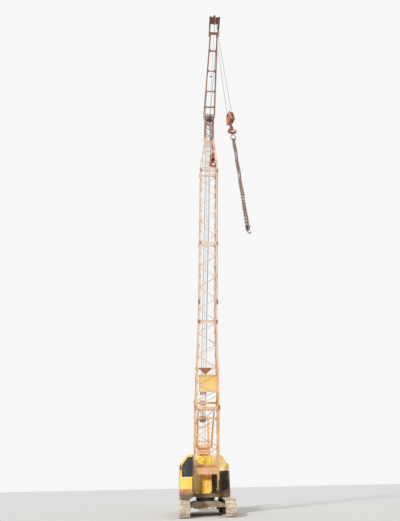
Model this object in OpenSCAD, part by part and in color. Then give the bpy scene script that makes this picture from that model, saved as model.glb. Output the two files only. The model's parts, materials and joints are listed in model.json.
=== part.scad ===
// Lattice boom crawler crane with a fixed fly jib, two hook blocks and a chain sling.
// Origin: slewing axis on the ground. Front is -Y, up is +Z, millimetres.

/* [Tracks] */
// distance between the two track centre lines
track_gauge = 3060; // [2900:20:3200]
// width of a track shoe
shoe_w = 720; // [640:10:740]
// length of a track over its shoes
track_len = 4900; // [4700:50:5200]
// height of a track over its shoes
track_h = 980; // [960:10:1000]
// shoes in one track
shoe_count = 52; // [50:1:54]
// height of the grouser above its plate's seat
grouser_h = 45; // [35:1:50]

/* [Superstructure] */
// underside of the turning platform
deck_z = 1000; // [995:5:1020]
// top of the platform plate
floor_z = 1280; // [1275:5:1300]
// half width of the machine house
house_hw = 1800; // [1780:5:1820]
// height of the house roof
roof_z = 3470; // [3440:10:3500]
// front wall of the house
house_y0 = -600; // [-620:5:-590]
// rear wall of the house
house_y1 = 2950; // [2900:10:3000]
// thickness of the house sheets with their ribs
skin = 30; // [20:1:40]
// rear end of the counterweight
tail_y = 3760; // [3650:10:3850]

/* [Cab] */
// outer side wall of the cab
cab_x0 = -1890; // [-1900:5:-1880]
// inner side wall of the cab
cab_x1 = -965; // [-975:5:-960]
// front wall of the cab
cab_y0 = -2250; // [-2300:10:-2200]
// rear wall of the cab
cab_y1 = -660; // [-680:5:-650]
// height of the cab roof
cab_top = 3450; // [3430:5:3470]
// thickness of the cab walls
cab_t = 45; // [35:1:55]

/* [Boom] */
// height of the boom foot pins
pin_z = 1480; // [1470:5:1500]
// distance of the boom foot pins ahead of the slewing axis
pin_y = -950; // [-960:5:-940]
// elevation of the boom
boom_elev = 61.5; // [61:0.1:62]
// length from the foot pins to the end of the neck
boom_len = 29140; // [29100:10:29200]
// length of the foot section
foot_len = 5600; // [5500:10:5700]
// length of the tapered head section
head_len = 5200; // [5100:10:5300]
// length of the head's narrow neck
neck_len = 2440; // [2400:10:2500]
// length of the head section below its taper
shoulder_len = 800; // [700:10:900]
// outer width of the boom at its foot
foot_w = 1850; // [1830:5:1860]
// outer width of the parallel sections
boom_w = 1430; // [1410:5:1450]
// outer depth of the parallel sections
boom_d = 1150; // [1120:5:1180]
// leg of the chord angles
chord_leg = 125; // [110:1:130]
// thickness of the chord angles
chord_t = 12; // [10:1:14]
// width of the lacing bars
lace_w = 50; // [40:1:55]
// thickness of the lacing bars
lace_t = 14; // [10:1:16]
// outer width of the neck
neck_w = 780; // [760:5:800]
// outer depth at the end of the neck
neck_d = 700; // [680:5:720]

/* [Jib] */
// elevation of the fly jib
jib_elev = 20; // [19:0.5:21]
// length from the jib foot pins to the tip sheave
jib_len = 6540; // [6500:10:6600]
// outer width of the jib at its foot
jib_w0 = 1000; // [980:5:1020]
// outer width of the jib near its tip
jib_w1 = 580; // [560:5:600]
// leg of the jib chord angles
jib_leg = 80; // [70:1:90]

/* [Hooks] */
// top of the main hook block's cheeks
mb_top = 21000; // [20900:10:21100]
// eye of the main hook
mb_hook = 20110; // [20100:1:20120]
// top of the jib hook block's cheeks
jb_top = 14920; // [14800:10:15000]
// eye of the jib hook
jb_hook = 13670; // [13660:1:13680]
// the blocks have turned on their falls, the jib's twice as far
block_turn = 11; // [8:1:13]
// lower end of the chain sling
sling_end = 7700; // [7600:10:7800]

/* [Hidden] */
$fn = 32;
e = 0.3;
zc = track_h / 2;
tr_a = (track_len - track_h) / 2;
tr_r = zc - grouser_h;
tr_p = (4 * tr_a + 2 * PI * tr_r) / shoe_count;
ring_r = tr_r - 80;
wheel_r = 0.5 * (ring_r + ring_r * cos(180 / 26)) - 2;
roller_r = 150;
roller_z = zc - ring_r + roller_r + e;
frame_x = 140;
tilt = 90 - boom_elev;
jtilt = 90 - jib_elev;
neck_y = pin_y - boom_len * cos(boom_elev);
neck_z = pin_z + boom_len * sin(boom_elev);
tip_y = neck_y - jib_len * cos(jib_elev);
tip_z = neck_z + jib_len * sin(jib_elev);
gan_y = 1200;
gan_z = 6200;
// where the stays meet the boom head, in boom terms: along and across
stay_s = boom_len - 140;
stay_d = 450;
stay_y = pin_y - stay_s * cos(boom_elev) + stay_d * sin(boom_elev);
stay_z = pin_z + stay_s * sin(boom_elev) + stay_d * cos(boom_elev);
stay_l = norm([stay_y - gan_y, stay_z - gan_z]);
stay_a = atan2(gan_y - stay_y, stay_z - gan_z);
bail_s = 1900;
// back-stop pivots
bs_y = 360;
bs_z = 4150;
bs_x = 600;
bs_s = foot_len - 600;
// start of the foot section's last bay
bay_s = foot_len - 1045;
bs_ty = pin_y - bs_s * cos(boom_elev) + 450 * sin(boom_elev);
bs_tz = pin_z + bs_s * sin(boom_elev) + 450 * cos(boom_elev);
bs_l = norm([bs_ty - bs_y, bs_tz - bs_z]);
bs_a = atan2(bs_y - bs_ty, bs_tz - bs_z);
// boom stations: [along, outer width, outer depth]
ins_len = (boom_len - foot_len - head_len) / 3;
st = [[0, foot_w, 260], [700, foot_w, 430], [foot_len, foot_w - 40, boom_d],
      [foot_len + ins_len, boom_w, boom_d],
      [foot_len + 2 * ins_len, boom_w, boom_d], [boom_len - head_len, boom_w, boom_d],
      [boom_len - head_len + shoulder_len, boom_w, boom_d], [boom_len - neck_len - 500, 980, 1000],
      [boom_len - neck_len, 830, 940], [boom_len, neck_w, neck_d]];
// the head's end frame stays below the rear falls at every luff
head_s = boom_len - 960;
plate_x = neck_w / 2 - 22;
// the stay lugs start this far across, above the guide shaft
lug_low = 172;
// shafts in the head, in boom terms: [across, along]
sheave_at = [-neck_d / 2 - 80, boom_len - 320];
guide_at = [95, boom_len - 240];
rope_r = 9;
// a rope lies this far outside the groove's bottom, which is 26 inside the rim
groove = 26 - rope_r - 1;
cw_y0 = house_y1 + 25;
deck_y0 = -1050;
gan_ry = house_y1 - skin - 100;

// a bar of square-cornered section between two points
module seg(a, b) {
  d = b - a;
  l = norm(d);
  az = atan2(d[1], d[0]);
  translate(a) rotate([0, acos(d[2] / l), az]) rotate([0, 0, -az]) linear_extrude(l) children();
}
// flat bar lying in a face: f = 0 for a face whose normal is Y, 1 for one whose normal is X
module lace(a, b, w, t, f) {
  seg(a, b) square(f == 0 ? [w, t] : [t, w], center = true);
}
module angle_bar(leg, t, sx, sy) {
  // corner at the origin, legs running inwards
  polygon([[0, 0], [-sx * leg, 0], [-sx * leg, -sy * t], [-sx * t, -sy * t], [-sx * t, -sy * leg],
           [0, -sy * leg]]);
}
module rod(a, b, r) {
  seg(a, b) circle(r);
}
module along_x(x, y, z) {
  translate([x, y, z]) rotate([0, 90, 0]) children();
}
module boom_frame() {
  translate([0, pin_y, pin_z]) rotate([tilt, 0, 0]) children();
}
module jib_frame() {
  translate([0, neck_y, neck_z]) rotate([jtilt, 0, 0]) children();
}
module stay_frame() {
  translate([0, gan_y, gan_z]) rotate([stay_a, 0, 0]) children();
}
module bs_frame() {
  translate([0, bs_y, bs_z]) rotate([bs_a, 0, 0]) children();
}

// track loop: position and heading at distance s along the pin line
function lp(s) =
  s < 2 * tr_a ? [-tr_a + s, zc - tr_r, 0]
  : s < 2 * tr_a + PI * tr_r ? let (t = (s - 2 * tr_a) / tr_r * 180 / PI)
      [tr_a + tr_r * sin(t), zc - tr_r * cos(t), t]
  : s < 4 * tr_a + PI * tr_r ? [tr_a - (s - 2 * tr_a - PI * tr_r), zc + tr_r, 180]
  : let (t = (s - 4 * tr_a - PI * tr_r) / tr_r * 180 / PI)
      [-tr_a - tr_r * sin(t), zc + tr_r * cos(t), 180 + t];
function off(q, u, n) = [q[0] + u * cos(q[2]) + n * sin(q[2]), q[1] + u * sin(q[2]) - n * cos(q[2])];
sh = tr_p / 2 - 4;
shoe = [[-sh, -12], [-sh, 20], [-sh + 16, grouser_h], [-sh + 50, grouser_h], [-sh + 66, 20], [sh, 20],
        [sh, -12]];
function wrap(s) = s - floor(s / (tr_p * shoe_count)) * tr_p * shoe_count;
function loop_pts(prof) = [for (i = [0:shoe_count - 1]) for (q = prof)
  off(lp(wrap(tr_a + (i + 0.5) * tr_p)), q[0], q[1])];

module track(x) {
  translate([x, 0, 0]) rotate([90, 0, 90]) {
    translate([0, 0, -shoe_w / 2]) linear_extrude(shoe_w) difference() {
      polygon(loop_pts(shoe));
      polygon(loop_pts([[0, -22]]));
    }
    translate([0, 0, -90]) linear_extrude(180) difference() {
      polygon(loop_pts([[0, -17]]));
      polygon(loop_pts([[-tr_p / 4, -80], [tr_p / 4, -80]]));
    }
  }
}
module track_left() { color("#9c8f78") track(-track_gauge / 2); }
module track_right() { color("#9c8f78") track(track_gauge / 2); }

module track_frames() {
  color("#6d6455") for (s = [-1, 1]) translate([s * track_gauge / 2, 0, 0]) {
    translate([-130, -1560, 450]) cube([260, 3120, 240]);
    for (x = [-frame_x, frame_x - 22]) difference() {
      translate([x, -2080, 235]) cube([22, 4160, 445]);
      translate([x - 1, -2081, 234]) cube([24, 481, 105]);
      translate([x - 1, 1600, 234]) cube([24, 481, 105]);
    }
    // roller bosses outside the side plates
    for (i = [0:7]) for (q = [-1, 1])
      along_x(q * (frame_x + 12), -1470 + i * 420, roller_z) cylinder(r = 55, h = 24, center = true);
    for (y = [-tr_a, tr_a]) for (q = [-1, 1])
      along_x(q * (frame_x + 20), y, zc) cylinder(r = 110, h = 40, center = true);
    // upper roller brackets
    for (y = [-850, 0, 850]) for (q = [-1, 1])
      translate([q * 88 - 12, y - 50, 680]) cube([24, 100, 160]);
  }
  // final drives inboard at the rear
  color("#6d6455") for (s = [-1, 1]) {
    along_x(s * (track_gauge / 2 - 330), tr_a, zc) cylinder(r = 270, h = 380, center = true);
    along_x(s * (track_gauge / 2 - 560), tr_a - 60, zc + 40) cylinder(r = 150, h = 200, center = true);
  }
}
module rollers() {
  color("#4e4840") for (s = [-1, 1]) translate([s * track_gauge / 2, 0, 0]) {
    for (i = [0:7]) along_x(0, -1470 + i * 420, roller_z) {
      cylinder(r = roller_r, h = 150, center = true);
      cylinder(r = 45, h = 2 * (frame_x - 22), center = true);
    }
    for (y = [-850, 0, 850]) along_x(0, y, zc + ring_r - 45 - e) cylinder(r = 45, h = 150, center = true);
  }
}
module wheel_body(teeth) {
  along_x(0, 0, 0) {
    cylinder(r = wheel_r - (teeth ? 22 : 0), h = 120, center = true, $fn = 48);
    cylinder(r = 120, h = 2 * (frame_x - 22), center = true);
    if (teeth) for (i = [0:12]) rotate([0, 0, i * 360 / 13])
      translate([wheel_r - 60, -28, -45]) cube([52, 56, 90]);
  }
}
module idlers() {
  color("#5a5348") for (s = [-1, 1]) translate([s * track_gauge / 2, -tr_a, zc]) wheel_body(false);
}
module sprockets() {
  color("#5a5348") for (s = [-1, 1]) translate([s * track_gauge / 2, tr_a, zc]) wheel_body(true);
}

module carbody() {
  color("#73684f") {
    difference() {
      translate([-820, -900, 470]) cube([1640, 1800, 330]);
      translate([0, 0, 469]) cylinder(r = 300, h = 400);
    }
    // cross beams, deeper towards the middle
    for (y = [-760, 760]) translate([0, y + 170, 0]) rotate([90, 0, 0]) linear_extrude(340) {
      x = track_gauge / 2 - frame_x;
      polygon([[-x, 480], [x, 480], [x, 670], [1200, 690], [790, 797], [-790, 797], [-1200, 690], [-x, 670]]);
    }
    cylinder_ring(800, 620, 520);
    // front step and tow jaw
    for (s = [-1, 1]) translate([s * 420 - 30, -1500, 400]) cube([60, 620, 90]);
    translate([-640, -1560, 390]) cube([1280, 70, 60]);
    difference() {
      translate([-70, -1130, 560]) cube([140, 240, 120]);
      translate([0, -1060, 540]) cylinder(r = 25, h = 180);
      translate([-71, -1131, 600]) cube([142, 160, 40]);
    }
  }
}
module cylinder_ring(z, ro, ri) {
  translate([0, 0, z - 1]) difference() {
    cylinder(r = ro, h = 62, $fn = 64);
    translate([0, 0, -1]) cylinder(r = ri, h = 64, $fn = 64);
  }
}
module slew_ring() {
  color("#4a463f") translate([0, 0, 861 + e]) difference() {
    union() {
      cylinder(r = 690, h = 70, $fn = 72);
      for (i = [0:47]) rotate([0, 0, i * 7.5]) translate([680, -16, 8]) cube([36, 32, 54]);
    }
    translate([0, 0, -1]) cylinder(r = 540, h = 72, $fn = 72);
  }
}

module deck() {
  color("#c99a1c") {
    // turning ring under the platform
    translate([0, 0, 937]) difference() {
      cylinder(r = 660, h = 64, $fn = 64);
      translate([0, 0, -1]) cylinder(r = 560, h = 66, $fn = 64);
    }
    for (s = [-1, 1]) {
      translate([s * 600 - 60, deck_y0, deck_z]) cube([120, cw_y0 - e - deck_y0, floor_z - deck_z - 30]);
      // boom foot brackets: two plates each side of the boom foot
      for (x = [790, 910]) difference() {
        union() {
          translate([s * x - 15, pin_y - 130, deck_z + 60]) cube([30, 260, pin_z - deck_z - 60]);
          along_x(s * x, pin_y, pin_z) cylinder(r = 110, h = 30, center = true);
        }
        along_x(s * x, pin_y, pin_z) cylinder(r = 40.3, h = 40, center = true);
      }
      translate([s * 850 - 75, -1040, deck_z + 60]) cube([150, 500, 120]);
      translate([s * 725 - 75, -1040, deck_z + 60]) cube([150, 220, 120]);
    }
    for (y = [deck_y0, -500, 700, 1900, house_y1 - 70])
      translate([-560, y, deck_z + 10]) cube([1120, 90, 230]);
    translate([-house_hw, house_y0 - 50, floor_z - 30]) cube([2 * house_hw, house_y1 - house_y0 + 70, 30]);
    // cab platform
    translate([cab_x0, cab_y0, 1140]) cube([cab_x1 - cab_x0, 1600, 60]);
    translate([cab_x0 + 60, cab_y1 + e, 1140]) cube([600, house_y0 - cab_y1 - e, 112]);
    for (x = [cab_x0 + 60, cab_x1 - 140]) translate([x, cab_y0 + 20, deck_z]) cube([80, 3180, 141]);
    for (y = [cab_y0 + 19, -1450])
      translate([cab_x0 + 59, y, deck_z + 1]) cube([cab_x1 - cab_x0 - 118, 70, 140]);
    // side frame of the right-hand platform
    translate([house_hw - 131, house_y0 - 20, deck_z + 30])
      cube([90, house_y1 - house_y0 - 60, floor_z - deck_z - 59]);
    translate([-1500, 860, 1080]) cube([950, 90, 120]);
    translate([-1450, -1000, 1080]) cube([860, 110, 100]);
    for (y = [-600, 2840]) translate([540, y, deck_z + 20]) cube([1140, 90, floor_z - deck_z - 49]);
  }
}
module counterweight() {
  color("#b98a17") difference() {
    translate([0, 0, deck_z - 20]) linear_extrude(1180) polygon([[-1500, cw_y0],
      [1500, cw_y0], [1500, tail_y - 240], [1180, tail_y], [-1180, tail_y], [-1500, tail_y - 240]]);
    for (s = [-1, 1]) translate([s * 760 - 60, tail_y - 60, deck_z + 500]) cube([120, 70, 300]);
  }
}

function house_pts(k) = [[-house_hw + k, floor_z - k], [house_hw - k, floor_z - k],
  [house_hw - k, 2910 - k * 0.3], [1580 - k * 0.6, 3060 - k * 0.8], [1530 - k * 0.8, 3140 - k * 0.5],
  [1290 - k * 0.6, roof_z - k], [-1290 + k * 0.6, roof_z - k], [-1530 + k * 0.8, 3140 - k * 0.5],
  [-1580 + k * 0.6, 3060 - k * 0.8], [-house_hw + k, 2910 - k * 0.3]];
module house_prism(k, y0, y1) {
  translate([0, y1, 0]) rotate([90, 0, 0]) linear_extrude(y1 - y0) polygon(house_pts(k));
}
// doors of the house: [y0, y1] on both sides, z from dz0 to dz1
dz0 = 1420;
dz1 = 2800;
side_doors = [[100, 900], [960, 1760]];
rear_x = 560;
// radiator opening in the front wall
louvre_x = [470, 1700];
louvre_z = [1380, 2490];
louvre_pitch = 85;
module house_shell() {
  color("#e2b93a") difference() {
    house_prism(0, house_y0, house_y1);
    house_prism(skin, house_y0 + skin, house_y1 - skin);
    for (s = [-1, 1]) for (d = side_doors)
      translate([s * (house_hw - 15) - 40, d[0], dz0]) cube([80, d[1] - d[0], dz1 - dz0]);
    translate([-rear_x, house_y1 - 60, 2230]) cube([2 * rear_x, 120, 700]);
    translate([louvre_x[0], house_y0 - 10, louvre_z[0]])
      cube([louvre_x[1] - louvre_x[0], skin + 20, louvre_z[1] - louvre_z[0]]);
    // slots for the gantry legs
    for (s = [-1, 1]) {
      translate([s * 450 - 75, 180, roof_z - 60]) cube([150, 500, 120]);
      translate([s * 450 - 75, 1960, roof_z - 60]) cube([150, 520, 120]);
    }
  }
  // louvres of the radiator, on a middle post
  color("#4a443c") {
    for (z = [louvre_z[0] + 45 : louvre_pitch : louvre_z[1] - 40])
      translate([louvre_x[0] - 5, house_y0 + skin / 2, z]) rotate([35, 0, 0]) translate([0, -36, -4])
        cube([louvre_x[1] - louvre_x[0] + 10, 72, 8]);
    translate([(louvre_x[0] + louvre_x[1]) / 2 - 20, house_y0 + 4, louvre_z[0] - 5])
      cube([40, 22, louvre_z[1] - louvre_z[0] + 10]);
  }
  // exhaust stack with its silencer
  color("#5a4636") translate([640, 2480, roof_z]) {
    translate([0, 0, -5]) cylinder(r = 90, h = 12);
    cylinder(r = 52, h = 430);
    translate([0, 0, 60]) cylinder(r = 84, h = 250);
    translate([0, 0, 400]) rotate([40, 0, 0]) cylinder(r = 52, h = 120);
  }
}
module engine() {
  color("#5c5a55") translate([-385, 1150, floor_z]) cube([770, 1450, 1150]);
}
module front_box() {
  color("#c8741c") translate([-290, -1080, 1320]) cube([700, 470 + 9.7, 1080]);
  color("#d9a515") translate([-290, -1100, 1240]) cube([570, 420, 80]);
  color("#f0b40f") translate([-480, -660, 2820]) cube([960, 60 - e, 600]);
}

// middle lines of the gantry's front and rear legs
function leg_y(z) = let (z0 = floor_z - 110) lerp(-180, gan_y - 60, (z - z0) / (gan_z - 60 - z0));
function rear_y(z) = let (z0 = floor_z - 110) lerp(gan_ry + 37, gan_y + 60, (z - z0) / (gan_z - 60 - z0));
module gantry() {
  color("#d98a2b") {
    for (s = [-1, 1]) {
      difference() {
        union() {
          seg([s * 450, leg_y(floor_z - 110), floor_z - 110], [s * 450, leg_y(gan_z - 60), gan_z - 60])
            square([110, 140], center = true);
          seg([s * 450, rear_y(floor_z - 110), floor_z - 110], [s * 450, rear_y(gan_z - 60), gan_z - 60])
            square([80, 120], center = true);
        }
        translate([-1000, deck_y0, floor_z - 400]) cube([2000, 5000, 400]);
      }
      difference() {
        along_x(s * 450, gan_y, gan_z) cylinder(r = 130, h = 60, center = true);
        along_x(s * 450, gan_y, gan_z) cylinder(r = 45, h = 80, center = true);
      }
      translate([s * 450 - 55, gan_y - 130, gan_z - 330]) cube([110, 260, 240]);
    }
    for (s = [-1, 1]) {
      translate([s * (bs_x - 106) - 39, bs_y - 60, bs_z - 70]) cube([78, 260, 140]);
      along_x(s * (bs_x - 15), bs_y, bs_z) cylinder(r = 30, h = 110, center = true);
    }
    for (q = [[780, 4500], [1060, 5600]]) translate([-450, q[0] - 40, q[1]]) cube([900, 80, 80]);
    // slats ahead of the winch
    for (z = [3660, 3830, 4000, 4170]) translate([-500, leg_y(z + 65) - 100, z]) cube([1000, 40, 130]);
    // bracing between the front and rear legs
    for (s = [-1, 1]) for (z = [3900, 4800]) {
      seg([s * 450, leg_y(z), z], [s * 450, rear_y(z + 640), z + 640])
        square([40, 60], center = true);
      seg([s * 450, leg_y(z + 800), z + 800], [s * 450, rear_y(z + 740), z + 740])
        square([50, 60], center = true);
    }
  }
  color("#5a4636") along_x(0, gan_y, gan_z) cylinder(r = 44.7, h = 1100, center = true);
}
// sheave block swinging on the gantry shaft, in line with the stays
module gantry_block() {
  color("#8a5436") stay_frame() {
    for (x = [-275, 255]) difference() {
      union() {
        translate([x, -70, 0]) cube([20, 140, 330]);
        along_x(x + 10, 0, 0) cylinder(r = 100, h = 20, center = true);
      }
      along_x(x + 10, 0, 0) cylinder(r = 45.3, h = 40, center = true);
    }
    translate([-256, -50, 262]) cube([512, 100, 50]);
  }
  color("#5a4636") along_x(0, gan_y, gan_z) for (x = [-180, -60, 60, 180]) translate([0, 0, x]) {
    difference() {
      sheave(205, 90);
      translate([0, 0, -60]) cylinder(r = 45.3, h = 120);
    }
  }
}
module sheave(r, w) {
  rotate_extrude($fn = 40) polygon([[40, -w / 2], [90, -w / 2], [90, -w / 5], [r - 60, -w / 5], [r - 30, -w / 2],
    [r, -w / 2], [r - 26, -w / 8], [r - 26, w / 8], [r, w / 2], [r - 30, w / 2], [r - 60, w / 5],
    [90, w / 5], [90, w / 2], [40, w / 2]]);
}
module winch() {
  color("#c67a25") for (s = [-1, 1]) translate([s * 350 - 15, 820, roof_z]) cube([30, 760, 640]);
  color("#c67a25") {
    translate([-336, 820, roof_z + 20]) cube([672, 60, 200]);
    translate([-336, 1500, roof_z + 20]) cube([672, 60, 200]);
  }
  color("#d99b34") along_x(0, 1200, roof_z + 370) {
    cylinder(r = 200, h = 670, center = true, $fn = 40);
    for (x = [-300, 300]) translate([0, 0, x]) cylinder(r = 290, h = 24, center = true, $fn = 40);
  }
}

// cab outline in the front view
function cab_pts(k) = [[cab_x0 + k, 1200 + k], [cab_x1 - k, 1200 + k], [cab_x1 - k, cab_top - k],
  [-1340 - k * 0.43, cab_top - k], [cab_x0 + k, 2870 - k * 0.35]];
module cab_prism(k, y0, y1) {
  translate([0, y1, 0]) rotate([90, 0, 0]) linear_extrude(y1 - y0) polygon(cab_pts(k));
}
win_front = [[-1730, 2180], [-1030, 2180], [-1030, 3310], [-1330, 3310], [-1730, 2835]];
door_y0 = -1900;
door_y1 = -1120;
module front_win(k, y0, y1) {
  translate([0, y1, 0]) rotate([90, 0, 0]) linear_extrude(y1 - y0) offset(delta = -k) polygon(win_front);
}
module cab_shell() {
  color("#f2b51a") difference() {
    cab_prism(0, cab_y0, cab_y1);
    cab_prism(cab_t, cab_y0 + cab_t, cab_y1 - cab_t);
    front_win(0, cab_y0 - 10, cab_y0 + 60);
    // doorway
    translate([cab_x0 - 10, door_y0, 1330]) cube([80, door_y1 - door_y0, 1520]);
    // side windows
    translate([cab_x0 - 10, -1040, 2200]) cube([80, 300, 560]);
    translate([cab_x0 - 10, -2150, 2260]) cube([80, 170, 520]);
    translate([cab_x1 - 60, -2120, 2260]) cube([80, 620, 800]);
    translate([cab_x1 - 60, -1400, 2260]) cube([80, 560, 800]);
    translate([-1700, cab_y1 - 60, 2260]) cube([560, 80, 560]);
  }
  // head lamps and the sill below the front window
  color("#c9c2b4") for (x = [-1710, -1130]) translate([x, cab_y0 + 1, 1400]) rotate([90, 0, 0]) {
    cylinder(r = 62, h = 46);
    translate([0, 0, 45]) cylinder(r = 74, h = 14);
  }
  color("#e8dcc4") translate([cab_x0 + 60, cab_y0 - 24, 2120]) cube([cab_x1 - cab_x0 - 90, 34, 46]);
}
module cab_glass() {
  g = 6;
  color([0.1, 0.12, 0.14, 0.5]) {
    front_win(e, cab_y0 + 18, cab_y0 + 18 + g);
    translate([cab_x0 + 18, -1040 + e, 2200 + e]) cube([g, 300 - 2 * e, 560 - 2 * e]);
    translate([cab_x0 + 18, -2150 + e, 2260 + e]) cube([g, 170 - 2 * e, 520 - 2 * e]);
    translate([cab_x1 - 24, -2120 + e, 2260 + e]) cube([g, 620 - 2 * e, 800 - 2 * e]);
    translate([cab_x1 - 24, -1400 + e, 2260 + e]) cube([g, 560 - 2 * e, 800 - 2 * e]);
    translate([-1700 + e, cab_y1 - 24, 2260 + e]) cube([560 - 2 * e, g, 560 - 2 * e]);
  }
}
module cab_door() {
  c = 5;
  color("#f2b51a") difference() {
    translate([cab_x0, door_y0 + c, 1330 + c]) cube([cab_t, door_y1 - door_y0 - 2 * c, 1520 - 2 * c]);
    translate([cab_x0 - 10, door_y0 + 90, 2140]) cube([80, door_y1 - door_y0 - 180, 620]);
  }
  color([0.1, 0.12, 0.14, 0.5]) translate([cab_x0 + 18, door_y0 + 89, 2139])
    cube([6, door_y1 - door_y0 - 178, 622]);
  color("#2b2b2b") translate([cab_x0 - 30, door_y0 + 70, 1980]) cube([31, 26, 120]);
  color("#f2b51a") for (z = [1450, 2050, 2650]) {
    translate([cab_x0 - hk, door_y1 - c / 2, z]) cylinder(r = hk - e, h = 90);
    translate([cab_x0 - hk + 4, door_y1 - c / 2 - 60, z]) cube([hk - 3, 60, 90]);
  }
}
module cab_interior() {
  color("#2e2a27") {
    translate([-1560, -1500, 1245]) cube([300, 300, 330]);
    translate([-1660, -1620, 1574]) cube([500, 520, 110]);
    translate([-1660, -1180, 1683]) cube([500, 110, 620]);
  }
  color("#3a3632") {
    translate([-1740, -2190, 1245]) cube([640, 160, 620]);
    for (x = [-1600, -1500, -1300, -1200]) translate([x, -2120, 1864]) rotate([-12, 0, 0])
      cylinder(r = 14, h = 300);
  }
}

// hinge knuckle with its leaf on the door, axis 12 mm outside the face
hk = 12;
// flat doors of the machine house, q = 1 hinged at the rear edge, -1 at the front edge
module side_door(s, d, q) {
  c = 5;
  y = q > 0 ? d[1] - c / 2 : d[0] + c / 2;
  translate([s * (house_hw + hk), y, 0]) mirror([s > 0 ? 1 : 0, 0, 0]) mirror([0, q > 0 ? 1 : 0, 0])
    for (z = [dz0 + 140, dz1 - 230]) {
      translate([0, 0, z]) cylinder(r = hk - e, h = 90);
      translate([4, 0, z]) cube([hk - 3, 60, 90]);
    }
  translate([s > 0 ? house_hw - skin : -house_hw, d[0] + c, dz0 + c])
    cube([skin, d[1] - d[0] - 2 * c, dz1 - dz0 - 2 * c]);
}
module door_left_a() { color("#eab22a") side_door(-1, side_doors[0], -1); }
module door_left_b() { color("#eab22a") side_door(-1, side_doors[1], 1); }
module door_right_a() { color("#eab22a") side_door(1, side_doors[0], -1); }
module door_right_b() { color("#eab22a") side_door(1, side_doors[1], 1); }
module door_rear() {
  color("#eab22a") {
    translate([-rear_x + 5, house_y1 - skin, 2235]) cube([2 * rear_x - 10, skin, 690]);
    for (z = [2320, 2750]) {
      translate([-rear_x + 2.5, house_y1 + hk, z]) cylinder(r = hk - e, h = 90);
      translate([-rear_x + 2.5, house_y1 - 1, z]) cube([60, hk - 3, 90]);
    }
  }
}

// lattice between two stations; nx bays on the wide faces, ny on the narrow ones
function lerp(a, b, t) = a + (b - a) * t;
function at_st(s, i) = let (k = [for (j = [0:len(st) - 2]) if (s >= st[j][0] && s <= st[j + 1][0]) j][0],
  t = (s - st[k][0]) / (st[k + 1][0] - st[k][0])) lerp(st[k][i], st[k + 1][i], t);
module chords(s0, s1) {
  // drawn 30 longer at both ends and trimmed square to the boom
  difference() {
    for (sx = [-1, 1]) for (sy = [-1, 1]) {
      a = [sx * at_st(s0, 1) / 2, sy * at_st(s0, 2) / 2, s0];
      b = [sx * at_st(s1, 1) / 2, sy * at_st(s1, 2) / 2, s1];
      u = 30 * (b - a) / norm(b - a);
      seg(a - u, b + u) angle_bar(chord_leg, chord_t, sx, sy);
    }
    for (z = [s0 - 200, s1]) translate([-foot_w, -boom_d, z]) cube([2 * foot_w, 2 * boom_d, 200]);
  }
}
// the two bars that meet at a chord stay clear of each other by their own width
module lattice(s0, s1, n, odd, rear = true) {
  in = 62;
  sink = chord_t + lace_t / 2 - 5;
  for (i = [0:n - 1]) {
    a = lerp(s0, s1, i / n) + lace_w * 0.9;
    b = lerp(s0, s1, (i + 1) / n) - lace_w * 0.9;
    wa = at_st(a, 1) / 2;
    wb = at_st(b, 1) / 2;
    da = at_st(a, 2) / 2;
    db = at_st(b, 2) / 2;
    k = ((i + odd) % 2) * 2 - 1;
    for (q = [-1, 1]) {
      if (q < 0 || rear)
        lace([k * (wa - in), q * (da - sink), a], [-k * (wb - in), q * (db - sink), b], lace_w, lace_t, 0);
      lace([q * (wa - sink), k * (da - in), a], [q * (wb - sink), -k * (db - in), b], lace_w, lace_t, 1);
    }
  }
}
// end frame of a section: four square bars let into the chords by half a leg's thickness
module end_frame(s, q, rear = true) {
  b = 70;
  w = at_st(s, 1) - chord_t;
  d = at_st(s, 2) - chord_t;
  z = q > 0 ? s : s - b;
  for (y = rear ? [-d / 2, d / 2 - b] : [-d / 2]) translate([-w / 2, y, z]) cube([w, b, b]);
  for (x = [-w / 2, w / 2 - b]) translate([x, -d / 2, z]) cube([b, d, b]);
}
module section(s0, s1, n, odd) {
  chords(s0, s1);
  lattice(s0 + 60, s1 - 60, n, odd);
  end_frame(s0, 1);
  end_frame(s1, -1);
}
module boom_foot() {
  color("#d9793a") boom_frame() {
    chords(st[1][0], st[2][0]);
    lattice(1600, bay_s, 3, 0);
    lattice(bay_s, st[2][0] - 60, 1, 1, false);
    end_frame(st[2][0], -1);
    // the rear face is braced clear of the back-stops, which push on the beam
    w = at_st(bay_s, 1) - chord_t;
    d = at_st(bay_s, 2) / 2;
    top = st[2][0] - 105;
    for (sx = [-1, 1]) lace([sx * 40, d - 20, bay_s], [sx * (at_st(top, 1) / 2 - 62), at_st(top, 2) / 2 - 14, top],
      lace_w, lace_t, 0);
    translate([-w / 2, d - 66, bay_s - 50]) cube([w, 60, 60]);
    translate([-w / 2, 425, bs_s + 90]) cube([w, 75, 80]);
    // plated legs down to the foot pins
    for (sx = [-1, 1]) difference() {
      union() {
        translate([sx * 850 - 30, 0, 0]) rotate([90, 0, 90]) linear_extrude(60) polygon([[-100, 0],
          [100, 0], [235, 760], [-235, 760]]);
        along_x(sx * 850, 0, 0) cylinder(r = 100, h = 60, center = true);
      }
      along_x(sx * 850, 0, 0) cylinder(r = 40.3, h = 80, center = true);
    }
    // box cross beam ahead of the house
    translate([-foot_w / 2 + 8, -250, 1080]) cube([foot_w - 16, 60, 400]);
    translate([-foot_w / 2 + 8, 190, 1080]) cube([foot_w - 16, 60, 400]);
    for (sx = [-1, 1]) translate([sx * 700 - 20, -191, 1100]) cube([40, 382, 360]);
  }
  color("#8a5a34") boom_frame() for (sx = [-1, 1]) along_x(sx * 850, 0, 0)
    cylinder(r = 40, h = 220, center = true);
}
module boom_insert_a() { color("#dc8040") boom_frame() section(st[2][0] + e, st[3][0], 7, 0); }
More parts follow.
